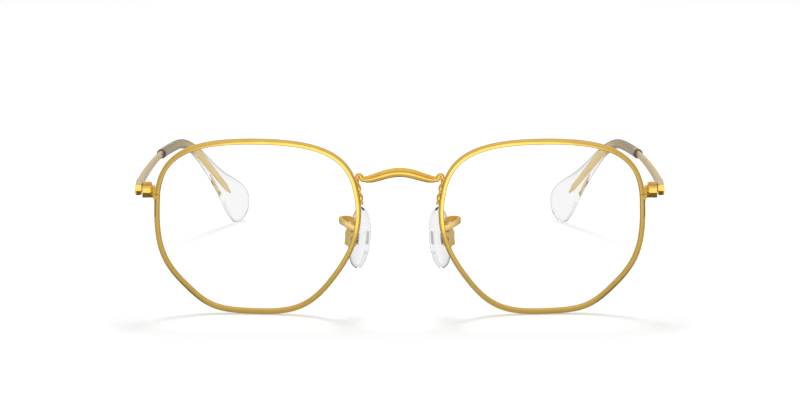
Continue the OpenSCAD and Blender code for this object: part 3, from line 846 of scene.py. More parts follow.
@dataclass
class Front:
    """The leaned front: the rounded hexagon of a lens opening and its place in the frame.

    The nose side lies 0.3 mm further out than on the CAD model, as measured on the photograph.
    """

    eye_w: float = 49.79
    eye_h: float = 43.1
    bridge_gap: float = 22.02
    lens_r: float = 200.0
    face_form: float = 4.5
    lean: float = 5.0
    rim_w: float = 1.2
    rim_d: float = 1.9
    groove_d: float = 0.5
    groove_w: float = 1.0
    film: float = 0.03
    corner_steps: int = 12
    lens_z: float = field(init=False)
    mid_y: float = field(init=False)

    def __post_init__(self) -> None:
        """Works out the box of the unstretched hexagon and where the front stands.

        It stands on the lowest point of the leaned wire, whose section is eight points here.
        """
        self.steps = np.arange(CORNERS * self.corner_steps) / self.corner_steps
        raw = self.raw(self.steps)
        self.raw_mid = (raw.max(0) + raw.min(0)) / 2
        self.raw_size = raw.max(0) - raw.min(0)
        wire = np.array([[0, 0.3], [0.4, 0.5], [0.78, 0.45], [1, 0.27]])
        wire = np.vstack([wire, wire * [1, -1]]) * [self.rim_w, self.rim_d]
        rings = self.at(self.steps[:, None], wire[None, :, 0], wire[None, :, 1])
        rings = turned(rings, Axis.X, self.lean)
        self.lens_z = -float(rings[..., 2].min())
        self.mid_y = float(rings[..., 1].min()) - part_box("rim_left")[0].y / MM

    def _handles(self, t: Points) -> tuple[Points, Points, Points, Points, Points]:
        """End points, handles and local parameter of the corner curves at t.

        Corner j runs from the middle of the side before it to the middle of the side after it,
        and its handles lie the corner's share of the way back from the corner point.

        Args:
            t: places along the edge.

        Returns:
            The starts, both handles, the ends, and how far t lies from start to end.
        """
        j = np.floor(t).astype(int)
        v = CORNER_SHARES[j % CORNERS]
        a = (CORNER_SHARES[(j - 1) % CORNERS] + v) / 2
        d = (v + CORNER_SHARES[(j + 1) % CORNERS]) / 2
        k = ROUND_SHARES[j % CORNERS][..., None]
        return a, v + (a - v) * k, v + (d - v) * k, d, (t - j)[..., None]

    def raw(self, t: Points) -> Points:
        """The hexagon before it is stretched to its box."""
        return bezier(*self._handles(t))

    def edge(self, t: Points, d: Any = 0.0) -> Points:
        """Edge of the opening at t, moved outwards by d along its normal, in the lens plane.

        Args:
            t: places along the edge.
            d: distances outwards from it.

        Returns:
            Rows of (outwards to the temple, upwards) from the lens's middle.
        """
        t = np.asarray(t, float)
        size = np.array([self.eye_w, self.eye_h]) / self.raw_size
        way = bezier_way(*self._handles(t)) * size
        normal = unit(np.stack([way[..., 1], -way[..., 0]], -1))
        return (self.raw(t) - self.raw_mid) * size + np.asarray(d, float)[..., None] * normal

    def on_face(self, q: Points) -> Points:
        """From the lens plane to the upright front.

        The depth gains the sphere's sag, r - sqrt(r^2 - x^2 - z^2), and the lens is turned
        back towards its temple about its nose edge.

        Args:
            q: points as (outwards to the temple, depth, upwards) from the lens's middle.

        Returns:
            The points on the upright front.
        """
        sag = self.lens_r - np.sqrt(self.lens_r**2 - q[..., 0] ** 2 - q[..., 2] ** 2)
        moved = np.stack([q[..., 0] + self.eye_w / 2, q[..., 1] + sag, q[..., 2]], -1)
        return turned(moved, Axis.Z, self.face_form) + np.array([self.bridge_gap / 2, 0, 0])

    def at(self, t: Points, d: Any, depth: Any, shrink: Any = 1.0) -> Points:
        """Points of the upright front beside the opening's edge.

        Args:
            t: places along the edge.
            d: distances outwards from it.
            depth: distances backwards from the lens surface.
            shrink: shares of the way from the lens's middle.

        Returns:
            Points, with the shapes of the arguments spread against each other.
        """
        t, d, depth, shrink = np.broadcast_arrays(t, d, depth, shrink)
        edge = self.edge(t, d) * shrink[..., None]
        return self.on_face(np.stack([edge[..., 0], depth, edge[..., 1]], -1))

    def seated(self, p: Points) -> Points:
        """From the upright front to the frame of the table: leaned, raised and centred."""
        return turned(p, Axis.X, self.lean) + np.array([0, -self.mid_y, self.lens_z])

    def nose_t(self, height: Points) -> Points:
        """Places t on the nose side where the opening's edge has the given heights.

        Args:
            height: heights above the lens's middle.

        Returns:
            The places.
        """
        t = np.linspace(*NOSE_SIDE, SEARCHED)
        z = self.edge(t)[:, 1]
        order = np.argsort(z)
        return np.interp(height, z[order], t[order])

    def along(self, d: float) -> tuple[Points, Points]:
        """Close places t round the curve at the distance d, and its length up to each of them.

        Args:
            d: distance outwards from the opening's edge.

        Returns:
            The places, and the lengths.
        """
        t = np.linspace(0, CORNERS, 2 * SEARCHED + 1)
        steps = np.linalg.norm(np.diff(self.edge(t, np.full(t.shape, d)), axis=0), axis=1)
        return t, np.concatenate([[0], np.cumsum(steps)])

    def even_ts(self, count: int, d: float) -> Points:
        """Places t that divide the closed curve at the distance d into equal lengths."""
        t, length = self.along(d)
        return np.interp(np.arange(count) / count * length[-1], length, t)


@dataclass
class Rims:
    """Grooved rim wires with a polished inner band and a finely milled outer one."""

    front: Front
    tone: Points = field(init=False)
    split_z: float = 30.9
    split_gap: float = 0.035
    notch_z: float = 25.05
    root_z: float = 30.35
    leg_t: float = 0.45
    rib_pitch: float = 0.34
    rib_depth: float = 0.045
    mill_from: float = 0.64
    mill_rise: float = 0.1
    band_tone: float = 0.5
    # Where the rim's painted shade lies: darker and rougher on the temple side and below.
    dull_run: tuple[float, float] = (39.0, 19.0)
    dull_shift: float = 10.51
    dull_fade: float = 5.0
    rib_sink: float = 0.04
    ease: float = 0.07
    samples: int = 4

    def outer_t(self, height: float) -> float:
        """Place on the outer side of the rim at a height above the table.

        Args:
            height: millimetres above the table.

        Returns:
            The place.
        """
        t = np.linspace(*TEMPLE_SIDE, SEARCHED)
        z = self.front.seated(self.front.at(t, self.front.rim_w, 0.0))[:, 2]
        order = np.argsort(z)
        return float(np.interp(height, z[order], t[order]))

    def section(self) -> tuple[Points, Points]:
        """Closed section of the wire and how far the milling reaches at each of its points.

        Returns:
            Rows of (outward distance, depth), and a share from 0 on the polished faces to 1
            on the milled outer ones.
        """
        f = self.front
        w, d = f.rim_w, f.rim_d / 2
        lip = [[-0.04, 0.76], [0.06, 0.91], [0.62, 1.0], [0.64, 0.93], [0.84, 0.86], [1.0, 0.56]]
        lip = np.array(lip)
        mouth, floor = [-0.1 * w, f.groove_w / 2], [f.groove_d, 0.1]
        groove = np.array([mouth, floor])
        groove = np.vstack([groove * [1, -1], groove[::-1]])
        outer = np.vstack([lip * [w, d], lip[::-1] * [w, -d]])
        points = eased(np.vstack([outer, groove]), self.ease)
        return points, smooth((points[:, 0] / w - self.mill_from) / self.mill_rise)

    def dull(self, t: Points) -> Points:
        """Painted shade on the rim at t, with a rougher satin finish: 0 on its upper nose side, 1 on
        the temple side and below.

        The two parts are divided by the line from the nose side's middle to the upper temple
        corner, above which a point lies by (z across - x up) / |(across, up)| - shift.

        Args:
            t: places along the opening's edge.

        Returns:
            Shares from 0 to 1.
        """
        x, z = np.moveaxis(self.front.edge(t), -1, 0)
        across, up = self.dull_run
        above = (z * across - x * up) / math.hypot(across, up) - self.dull_shift
        return 1 - smooth(above / self.dull_fade + 0.5)

    def skin(self) -> Skin:
        """Carries the section round the opening.

        The milling is a wave of rounded ribs across the wire: its outer faces sink by
        depth * (0.5 - 0.5 cos(2 pi s / pitch)), with s the length along the rim, and the side
        faces by a share of their depth. The wire is open at the split in its outer side, and
        set back below it for the block's leg.

        Returns:
            The left rim. Its shares of satin and painted shade are kept in tone.
        """
        f = self.front
        length = float(f.along(f.rim_w)[1][-1])
        t = f.even_ts(round(length / self.rib_pitch) * self.samples, f.rim_w)
        start = self.outer_t(self.split_z) % CORNERS
        notch, root = ((self.outer_t(z) - start) % CORNERS for z in (self.notch_z, self.root_z))
        past = (t - start) % CORNERS
        away = np.minimum(past, (start - t) % CORNERS)
        order = np.argsort(past)
        order = order[away[order] * length / CORNERS > self.split_gap]
        wave = 0.5 - 0.5 * np.cos(2 * np.pi * order / self.samples)
        points, share = self.section()
        back = np.where((past > notch) & (past < root), self.leg_t + f.film, 0.0)[order]
        # The larger of the milled band's satin share and the painted shade on the temple side and
        # below.
        self.tone = np.maximum(share[None, :] * self.band_tone, self.dull(t[order])[:, None])
        d = points[None, :, 0] - self.rib_depth * wave[:, None] * share[None, :]
        d = np.minimum(d, f.rim_w - back[:, None])
        depth = points[None, :, 1] * (1 - self.rib_sink * wave[:, None] * share[None, :])
        return Skin.over(f.seated(f.at(t[order][:, None], d, depth)))

    def build(self, shop: Workshop, finishes: Finishes) -> None:
        """Makes both rims, which carry at each point, the two end ones too, how satin they are and how
        much painted shade they bear.

        Args:
            shop: makes the pieces.
            finishes: the materials.
        """
        skin = self.skin()
        tone = np.append(self.tone, [1.0, 1.0]).astype(np.float32)
        for side in Side:
            seat = Seat("gold_rim", f"rim_{side.word}")
            rim = shop.piece("milled", skin.on(side), finishes.rim, seat, 32)
            rim.data.attributes.new(BAND, "FLOAT", "POINT").data.foreach_set("value", tone)


@dataclass
class Lenses:
    """Clear lenses with domed faces and a bevelled edge in the rim's groove."""

    front: Front
    thick: float = 1.2
    play: float = 0.1
    count: int = 360
    rings: int = 16

    def build(self, shop: Workshop, finishes: Finishes) -> None:
        """Makes both lenses.

        Rings run from the middle of the front face over the edge to the middle of the back
        one. Each face has its own, and the bevelled edge has five.

        Args:
            shop: makes the pieces.
            finishes: the materials.
        """
        f = self.front
        bevel, tip = f.groove_w / 2 - self.play, f.groove_d - self.play
        half, inside = self.thick / 2, -self.play
        face = np.tile([inside, half], (self.rings, 1))
        edge = [[inside, -half], [inside, -bevel], [tip, 0], [inside, bevel], [inside, half]]
        d, depth = np.vstack([face * [1, -1], edge, face]).T[..., None]
        inner = np.linspace(0.03, 0.97, self.rings)
        shrink = np.concatenate([inner, np.ones(len(edge)), inner[::-1]])[:, None]
        skin = Skin.over(f.seated(f.at(f.even_ts(self.count, 0.0)[None, :], d, depth, shrink)))
        first, end = (self.rings - 1) * self.count, (self.rings + len(edge)) * self.count
        for side in Side:
            seat = Seat("lens_clear", f"lens_{side.word}")
            edged = [(finishes.lens_edge, first, end)]
            shop.piece("clear", skin.on(side), finishes.lens, seat, 20, edged)


# Rows of (place along the foot, height of the beads) and, for the bar, of (place, half size):
# the place runs from 0 to 1 along the bar, to 2 up the scroll and to 3 round its curl.
BEAD_SHARES = np.array(
    [
        [0, 0.75], [0.07, 0.85], [0.14, 0.5], [0.2, 0.85], [0.3, 1], [0.38, 0.88], [0.44, 0.5],
        [0.5, 0.45], [0.57, 0.8], [0.66, 1.03], [0.76, 0.96], [0.83, 0.6], [0.89, 0.9],
        [0.95, 0.95], [1, 0.55],
    ]
)
HEIGHT_SHARES = np.array(
    [[0, 1], [0.4, 0.98], [0.75, 0.88], [0.9, 0.7], [1, 0.6], [2, 0.42], [2.6, 0.4], [3, 0.22]]
)
DEPTH_SHARES = np.array([[0, 1], [0.6, 0.92], [1, 0.78], [2, 0.66], [3, 0.5]])


@dataclass
class Bridge:
    """Round bridge bar whose ends rise over small scrolls, each above a beaded foot on the rim."""

    front: Front
    rise: float = 14.55
    low: float = 12.75
    height: float = 2.36
    depth: float = 1.9
    scroll_r: float = 1.0
    foot_l: float = 6.0
    foot_end: float = 0.2
    lobe_h: float = 0.75
    bow: float = 0.4
    steps: int = 60
    sides: int = 32

    def scroll_at(self) -> tuple[float, Points]:
        """Place t of the scroll on the rim, and its centre on the upright front.

        Returns:
            The place and the centre.
        """
        f = self.front
        t = np.linspace(*SCROLL_SIDE, SEARCHED)
        beside = f.at(t, f.rim_w + f.film + self.scroll_r, 0.0)
        found = float(np.interp(-self.low - self.scroll_r * 0.55, -beside[:, 2], t))
        return found, f.at(found, f.rim_w + f.film + self.scroll_r, 0.0)

    def path(self) -> tuple[Points, Points, Points]:
        """Middle line of the left half of the bar, with its half height and half depth.

        The line is the CAD bar's cubic from the middle to the neck, joined to a second cubic
        that rises to the top of the scroll and to a spiral that curls round its middle, with
        the radius r (0.52 - 0.25 t^2).

        Returns:
            Points from the middle outwards, half heights across the line and half depths.
        """
        r = self.scroll_r
        centre = self.scroll_at()[1]
        end = centre + np.array([-r * 0.95, 0, -r * 0.62])
        a = np.array([0, centre[1] - self.bow, self.rise])
        b = np.array([end[0] * 0.42, a[1], self.rise])
        way = unit(np.array([1.0, 0, 0.1]))
        c = end - way * end[0] * 0.3
        t = np.linspace(0, 1, self.steps)[:, None]
        bar = bezier(a, b, c, end, t)
        top = centre + np.array([0, 0, r * 0.5])
        rise = bezier(end, end + way * r * 0.55, top - np.array([r * 0.7, 0, 0]), top, t)
        a = np.radians(90 - 250 * t)
        curl = centre + np.hstack([np.cos(a), a * 0, np.sin(a)]) * r * (0.52 - 0.25 * t**2)
        line = np.vstack([bar, rise[1:], curl[1:]])
        u = np.linspace(0, 3, len(line))
        half = np.interp(u, HEIGHT_SHARES[:, 0], HEIGHT_SHARES[:, 1])
        deep = np.interp(u, DEPTH_SHARES[:, 0], DEPTH_SHARES[:, 1])
        return line, half * self.height / 2, deep * self.depth / 2

    def bar(self) -> Skin:
        """Carries an ellipse along the line on both halves: p + h sin(a) u - d cos(a) y.

        Returns:
            The bar with the curls at both ends.
        """
        line, half, deep = self.path()
        line = np.vstack([line[:0:-1] * [-1, 1, 1], line])
        half = np.concatenate([half[:0:-1], half])
        deep = np.concatenate([deep[:0:-1], deep])
        way = np.gradient(line, axis=0)
        u = unit(np.stack([-way[:, 2], np.zeros(len(way)), way[:, 0]], -1))
        c, q = circle(self.sides)
        rings = (
            line[:, None]
            + (half[:, None] * q)[..., None] * u[:, None]
            - (deep[:, None] * c)[..., None] * np.array([0, 1, 0])
        )
        return Skin.over(self.front.seated(rings))

    def knob(self) -> Skin:
        """A small lens-shaped boss that closes the curl: an ellipsoid, c + (r cos b, d sin b).

        Returns:
            The left boss.
        """
        b = np.linspace(-0.48, 0.48, 13)[:, None] * np.pi
        c, q = circle(24)
        wide, y = self.scroll_r * 0.62 * np.cos(b), self.depth * 0.16 * np.sin(b)
        rings = np.stack(np.broadcast_arrays(wide * c, y, wide * q), -1)
        return Skin.over(self.front.seated(rings + self.scroll_at()[1]))

    def foot(self) -> Skin:
        """Carries a low arch down the rim's nose side, swelling into a row of beads.

        Each arch is (h sin(a)^0.8, w cos(a)), and h closes by a square root at the lower end.

        Returns:
            The left foot.
        """
        f = self.front
        down = np.linspace(0, 1, 160)
        start = float(f.edge(np.array(self.scroll_at()[0]))[1]) - self.scroll_r * 0.5
        t = f.nose_t(start - down * self.foot_l)
        high = self.lobe_h * flowing(down, BEAD_SHARES, 0.02)
        high *= np.sqrt(np.clip((1 - down) * self.foot_l / self.foot_end, 0.05, 1))
        wide = f.rim_d * 0.14 + high * 0.42
        a = np.linspace(0, np.pi, 15)
        d = f.rim_w + f.film + high[:, None] * np.sin(a) ** 0.8
        return Skin.over(f.seated(f.at(t[:, None], d, wide[:, None] * np.cos(a))))

    def build(self, shop: Workshop, finishes: Finishes) -> None:
        """Makes the bridge as one piece.

        Args:
            shop: makes the pieces.
            finishes: the materials.
        """
        foot, knob = self.foot(), self.knob()
        skin = self.bar()
        for side in Side:
            skin = skin.joined(foot.on(side)).joined(knob.on(side))
        shop.piece("bar", skin, finishes.bridge, Seat("gold_bridge", "bridge"), 50)


# ---------------------------------------------------------------- temples and tips


# Rows of (place along the tip, share of the paddle's height), and the sizes of the first rings.
TIP_SHARES = np.array(
    [
        [0, 0], [0.45, 0], [0.59, 0.09], [0.68, 0.24], [0.77, 0.48], [0.83, 0.76], [0.88, 0.95],
        [0.91, 1], [1, 1],
    ]
)
MOUTH_SHARES = np.array([0.45, 0.86, 0.95, 1.0])


@dataclass
class Temple:
    """The wire and the clear tip of one temple, along a line that starts in the hinge's frame."""

    at: Points
    settle: float
    splay: float = 2.9
    length: float = 145.0
    head_w: float = 1.65
    head_h: float = 2.7
    head_l: float = 12.0
    wire_w: float = 1.36
    wire_h: float = 1.8
    head_fade: float = 4.0
    core_w: float = 0.9
    core_point: float = 3.0
    ease: float = 0.12
    bow: float = 21.8
    straight_l: float = 8.0
    drop: float = 38.4
    tuck: float = 12.6
    drop_l: float = 30.0
    drop_back: float = 40.7
    hollow: float = 0.75
    tip_l: float = 72.8
    tip_dia: float = 2.72
    tip_short: float = 1.0
    paddle_w: float = 11.2
    paddle_t: float = 2.1
    tip_solid: float = 12.2
    tip_power: float = 2.1
    tip_round: float = 0.46
    tip_square: float = 0.25
    tip_thin: float = 0.35
    tip_sides: int = 48
    facet_top: float = 0.15
    facet: float = 0.9
    start: tuple[float, float, float] = (2.275, -4.85, 0.0)
    steps: int = 1160

    def __post_init__(self) -> None:
        """Adds up short steps along the line's direction."""
        self.ds = self.length / self.steps
        s = (np.arange(self.steps) + 0.5) * self.ds
        walk = np.cumsum(self.way(s) * self.ds, axis=0)
        self.line = np.vstack([[0, 0, 0], walk]) + np.array(self.start)
        self.tip_from = self.length - self.tip_l
        self.core_end = self.length - self.tip_solid

    def bend(self, s: Points) -> Points:
        """Share of the bend behind the ear that lies before the distance s."""
        return smooth((s - self.length + self.drop_back + self.drop_l / 2) / self.drop_l)

    def yaw(self, s: Points) -> Points:
        """Inward turn at s, in radians: it grows evenly behind the straight front and in the bend.

        Args:
            s: distances along the line.

        Returns:
            The angles.
        """
        bow_from = self.head_l + self.straight_l
        even = np.maximum(s - bow_from, 0) / (self.length - bow_from)
        return np.radians(self.bow * even + self.tuck * self.bend(s))

    def way(self, s: Points) -> Points:
        """Direction at s: backwards, turned inwards by the yaw and down by the drop.

        Args:
            s: distances along the line.

        Returns:
            Rows of (x, y, z) of length 1.
        """
        pitch, yaw = np.radians(self.drop) * self.bend(s), self.yaw(s)
        return np.stack(
            [-np.sin(yaw) * np.cos(pitch), np.cos(yaw) * np.cos(pitch), -np.sin(pitch)], -1
        )

    def carried(self, s: Points, section: Points) -> Points:
        """Sets flat sections across the line.

        Args:
            s: distances along the line, one for each section.
            section: sections by points by (outwards, upwards).

        Returns:
            Rings in the frame of the table: middle + outwards * o + upwards * (o x way). Between
            the head and the tip the middle lies further in than on the CAD model, by
            hollow * sin(pi f), as measured on the photograph.
        """
        known = np.arange(self.steps + 1) * self.ds
        middle = np.stack([np.interp(s, known, column) for column in self.line.T], -1)
        share = np.clip((s - self.head_l) / (self.tip_from - self.head_l), 0, 1)
        middle[:, 0] -= self.hollow * np.sin(np.pi * share)
        yaw = self.yaw(s)
        o = np.stack([np.cos(yaw), np.sin(yaw), np.zeros_like(yaw)], -1)
        u = np.cross(o, self.way(s))
        rings = middle[:, None] + section[..., :1] * o[:, None] + section[..., 1:] * u[:, None]
        splayed = turned(rings, Axis.Z, -self.splay)
        return turned(splayed, Axis.X, -self.settle) + self.at

    def wire(self) -> Skin:
        """The wire: an eight-sided section with eased corners, faceted head, tapered core.

        Returns:
            The left wire.
        """
        head, behind, far = self.head_l, self.head_l + self.head_fade, self.core_end
        near = far - self.core_point
        body = np.linspace(head, near, 420)[1:]
        s = np.concatenate([np.linspace(0, head, 41), body, np.linspace(near, far, 30)[1:]])
        wide = np.interp(
            s,
            [head, behind, self.tip_from, self.tip_from + self.tip_l * 0.2, near, far],
            [self.head_w, self.wire_w, self.wire_w * 0.8, self.core_w, self.core_w, self.core_w / 2],
        )
        high = np.interp(
            s,
            [0, head, behind, self.tip_from, near, far],
            [self.head_h, self.head_h, self.head_h * 0.93, self.wire_h, self.wire_h, self.wire_h / 3],
        )
        bevel = np.minimum(self.wire_w * 0.2, wide * 0.3)
        signs = np.repeat([[1, 1], [-1, 1], [-1, -1], [1, -1]], 2, axis=0)
        cut = np.tile([[0, 1], [1, 0], [1, 0], [0, 1]], (2, 1))
        half = np.stack([wide / 2, high / 2], -1)[:, None]
        corners = signs * (half - cut * bevel[:, None, None])
        lift = (self.head_h / 2 - self.facet_top) * np.clip(1 - s / self.facet, 0, 1)
        corners[:, 4:, 1] += lift[:, None]
        section = np.stack([eased(c, self.ease) for c in corners])
        return Skin.over(self.carried(s, section))

    def tip(self) -> Skin:
        """The clear tip: round in front, growing into a flat rounded paddle.

        Its height grows along a smooth run of shares of the tip's length, and both sizes
        close at the end by (1 - f^p)^(1/p), with f the way into the end's rounding and p the
        tip's power. The section is a superellipse, squarer where the paddle is flat.

        Returns:
            The left tip.
        """
        end = 1 - 0.1 * np.linspace(1, 0, 60)[1:-1] ** 1.7
        f = np.concatenate([[0, 0, 0.0015, 0.004], np.linspace(0.008, 0.9, 150), end, [0.9999]])
        s = self.tip_from + f * (self.tip_l - self.tip_short)
        grow = flowing(f, TIP_SHARES, 0.04)
        r, power = self.paddle_w * self.tip_round, self.tip_power
        into = np.clip((s - self.length + self.tip_short + r) / r, 0, 1)
        end = np.clip(1 - into**power, 0, 1) ** (1 / power)
        high = (self.tip_dia + grow * (self.paddle_w - self.tip_dia)) * end
        wide = self.tip_dia + grow * (self.paddle_t - self.tip_dia)
        wide = wide * (self.tip_thin + (1 - self.tip_thin) * end)
        size = np.stack([wide, high], -1) / 2
        size[: len(MOUTH_SHARES)] *= MOUTH_SHARES[:, None]
        ring = np.stack(circle(self.tip_sides), -1)
        section = size[:, None] * swollen(ring, 1 - self.tip_square * grow[:, None, None])
        return Skin.over(self.carried(s, section))

    def build(self, shop: Workshop, finishes: Finishes) -> None:
        """Makes both temples and their tips, each tip with a dark lip and a cloudy mouth.

        Args:
            shop: makes the pieces.
            finishes: the materials.
        """
        wire, tip = self.wire(), self.tip()
        sides, end = self.tip_sides, len(tip.quads)
        patches = [(finishes.lip, 0, 2 * sides), (finishes.mouth, end, end + sides)]
        for side in Side:
            body = f"{side.word}_temple"
            seat = Seat("gold_temples", f"temple_{side.word}", body)
            shop.piece("wire", wire.on(side), finishes.temple, seat, 25)
            seat = Seat("tip_clear", f"temple_tip_{side.word}", body)
            shop.piece("clear", tip.on(side), finishes.tip, seat, 60, patches)


# ---------------------------------------------------------------- nose pads and their arms


@dataclass
class NosePads:
    """Clear nose pads and the looped flat arms that carry their boxes.

    The pads are wider than on the CAD model by the spread, tilted and turned further, and lie
    off their boxes by a little, as measured on the photograph.
    """

    front: Front
    pad_w: float = 8.0
    pad_spread: float = 1.2
    pad_tilt: float = 2.5
    pad_turn: float = 3.0
    pad_off: float = 0.12
    pad_h: float = 16.0
    pad_t: float = 1.8
    pad_dome: float = 0.5
    pad_square: float = 0.9
    pad_full: float = 0.04
    pad_x: float = 10.3
    pad_y: float = 9.5
    pad_low: float = 4.6
    pad_splay: float = 28.0
    pad_lean: float = 5.0
    arm_h: float = 1.5
    arm_t: float = 0.5
    arm_reach: float = 4.4
    arm_low: float = 0.5
    arm_rise: float = 2.2
    box_h: float = 3.6
    box_w: float = 2.2
    box_wall: float = 0.4
    box_room: float = 0.15
    pin_r: float = 0.35
    lug_gap: float = 0.6
    box_ease: float = 0.05
    screw_ease: float = 0.03
    steps: int = 60

    def in_pad(self, p: Points) -> Points:
        """From the pad's own frame to the upright front: turned by its splay and lean, and placed."""
        leaned = turned(turned(p, Axis.Z, -self.pad_splay), Axis.Y, -self.pad_lean)
        return leaned + np.array([self.pad_x, self.pad_y, -self.pad_low])

    def pad(self) -> Skin:
        """A rounded lozenge of soft plastic.

        Rings at the thickness t sin(b) shrink by cos(b)^0.5, so that the rim is full and
        both faces are gently domed; each ring is a superellipse that is fuller at its back.

        Returns:
            The left pad.
        """
        b = np.linspace(-1, 1, 41)[:, None] * np.pi / 2 * 0.985
        size = np.cos(b) ** self.pad_dome
        c, q = circle(96)
        y = self.pad_w * self.pad_spread / 2 * swollen(c, self.pad_square)
        z = self.pad_h / 2 * swollen(-q, self.pad_square) * (1 + self.pad_full * c)
        x = self.pad_t / 2 * np.sin(b)
        rings = np.stack(np.broadcast_arrays(x, size * y, size * z), -1)
        rings = turned(turned(rings, Axis.Y, -self.pad_tilt), Axis.Z, -self.pad_turn)
        rings[..., 0] -= self.pad_off
        return Skin.over(self.front.seated(self.in_pad(rings)))

    def arm(self) -> Skin:
        """The flat wire along three joined cubics.

        It leaves the back of the rim sideways and upwards, turns back in a narrow loop and
        comes down to the back of the box, with its flat side upright all the way.

        Returns:
            The left arm.
        """
        f = self.front
        axle_x = self.pad_t / 2 + self.lug_gap + self.pin_r * 2
        a = f.at(f.nose_t(-self.arm_low), f.rim_w / 2, f.rim_d / 2 + f.film + self.arm_t / 2)
        top = a + np.array([self.arm_reach, (self.pad_y - a[1]) * 0.22, self.arm_rise])
        back = axle_x + self.pin_r * 2 + self.box_room + self.box_wall + f.film + self.arm_t / 2
        z = self.in_pad(np.array([back, -self.box_w * 0.15, self.box_h * 0.3]))
        middle = [self.arm_reach * 0.2, (self.pad_y - a[1]) * 0.46, self.arm_rise * 0.72]
        middle = a + np.array(middle)
        inwards = np.array([-self.arm_reach * 0.36, self.arm_t * 0.4, -self.arm_rise * 0.4])
        outwards = np.array([self.arm_reach * 0.6, self.arm_t * 0.3, self.arm_rise * 0.55])
        over = np.array([0, self.arm_t * 1.5, 0])
        runs = [
            (a, a + outwards, top - over, top),
            (top, top + over, middle - inwards, middle),
            (middle, middle + inwards * 0.6, z + [0, 0, self.box_h * 0.45], z),
        ]
        t = np.linspace(0, 1, self.steps)[:, None]
        line = np.vstack([bezier(*run, t)[k > 0 :] for k, run in enumerate(runs)])
        way = unit(np.vstack([bezier_way(*run, t)[k > 0 :] for k, run in enumerate(runs)]))
        later = smooth(np.arange(len(way)) / (self.steps - 1) - 2)[:, None]
        flat = self.in_pad(np.array([1.0, 0, 0])) - self.in_pad(np.zeros(3))
        level = np.stack([way[:, 1], -way[:, 0], np.zeros(len(way))], -1)
        level /= np.maximum(np.linalg.norm(level, axis=1, keepdims=True), 1e-6)
        n = (1 - later) * level + later * flat
        n = unit(n - (n * way).sum(1, keepdims=True) * way)
        oblong = np.array([[1, -1], [1, 1], [-1, 1], [-1, -1]]) * [self.arm_t / 2, self.arm_h / 2]
        section = eased(oblong, self.arm_t * 0.3, 4)
        u = np.cross(n, way)
        rings = line[:, None] + section[None, :, :1] * n[:, None] + section[None, :, 1:] * u[:, None]
        return Skin.over(f.seated(rings))

    def build(self, shop: Workshop, finishes: Finishes) -> None:
        """Makes the arms, pads, boxes, screws and lugs of both sides.

        Args:
            shop: makes the pieces.
            finishes: the materials.
        """
        arm, pad = self.arm(), self.pad()
        for side in Side:
            word, body = side.word, f"{side.word}_nose_pad"
            seat = Seat("gold_pad_arms", f"pad_arm_{word}")
            shop.piece("loop", arm.on(side), finishes.arm, seat, 45)
            seat = Seat("pad_clear", f"nose_pad_{word}", body)
            shop.piece("clear", pad.on(side), finishes.pad, seat, 60)
            shop.machined(finishes.arm, Seat("gold_pad_arms", f"pad_box_{word}"), self.box_ease)
            shop.machined(finishes.steel, Seat("screws", f"pad_screw_{word}"), self.screw_ease)
            seat = Seat("pad_lugs", f"pad_lug_{word}", body)
            shop.machined(finishes.chrome, seat, self.screw_ease)


@dataclass
class SmallParts:
    """Closing blocks, hinge leaves and their screws, from the CAD nodes with eased edges."""

    rims: Rims
    block_ease: float = 0.07
    ease: float = 0.04
    seam: float = 0.04
    tab_up: float = 1.6
    tab_down: float = 1.2
    tab_in: float = 0.3

    def tab(self, low: float, high: float) -> Skin:
        """The solder fillet that fills the corner between the rim and one half of the block.

        Args:
            low: height above the table at which it starts.
            high: height at which it ends.

        Returns:
            The fillet on the left side.
        """
        f = self.rims.front
        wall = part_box("block_upper_left")[0].x / MM
        rings = []
        for height in np.linspace(low, high, 8):
            t = self.rims.outer_t(height)
            far = f.rim_w + wall - f.seated(f.at(t, f.rim_w, 0.0))[0] + self.tab_in
            near = f.rim_w * 0.75
            section = np.array([[near, -0.42], [far, -0.3], [far, 0.3], [near, 0.35]])
            rings.append(f.seated(f.at(t, section[:, 0], section[:, 1] * f.rim_d)))
        return Skin.over(np.stack(rings))

    def build(self, shop: Workshop, finishes: Finishes) -> None:
        """Makes them for both sides.

        Args:
            shop: makes the pieces.
            finishes: the materials.
        """
        split = self.rims.split_z
        tabs = {
            "upper": self.tab(split + self.seam, split + self.tab_up),
            "lower": self.tab(split - self.tab_down, split - self.seam),
        }
        for side in Side:
            word = side.word
            for half, tab in tabs.items():
                seat = Seat("gold_blocks", f"block_{half}_{word}")
                shop.machined(finishes.block, seat, self.block_ease)
                shop.piece("tab", tab.on(side), finishes.block, seat, 30)
            for finish, seat in (
                (finishes.hinge, Seat("gold_hinges", f"hinge_front_{word}")),
                (finishes.hinge, Seat("gold_hinges", f"hinge_rear_{word}", f"{word}_temple")),
                (finishes.steel, Seat("screws", f"closing_screw_{word}")),
                (finishes.arm, Seat("screws", f"hinge_screw_{word}")),
            ):
                shop.machined(finish, seat, self.ease)


# ---------------------------------------------------------------- stage, light and camera


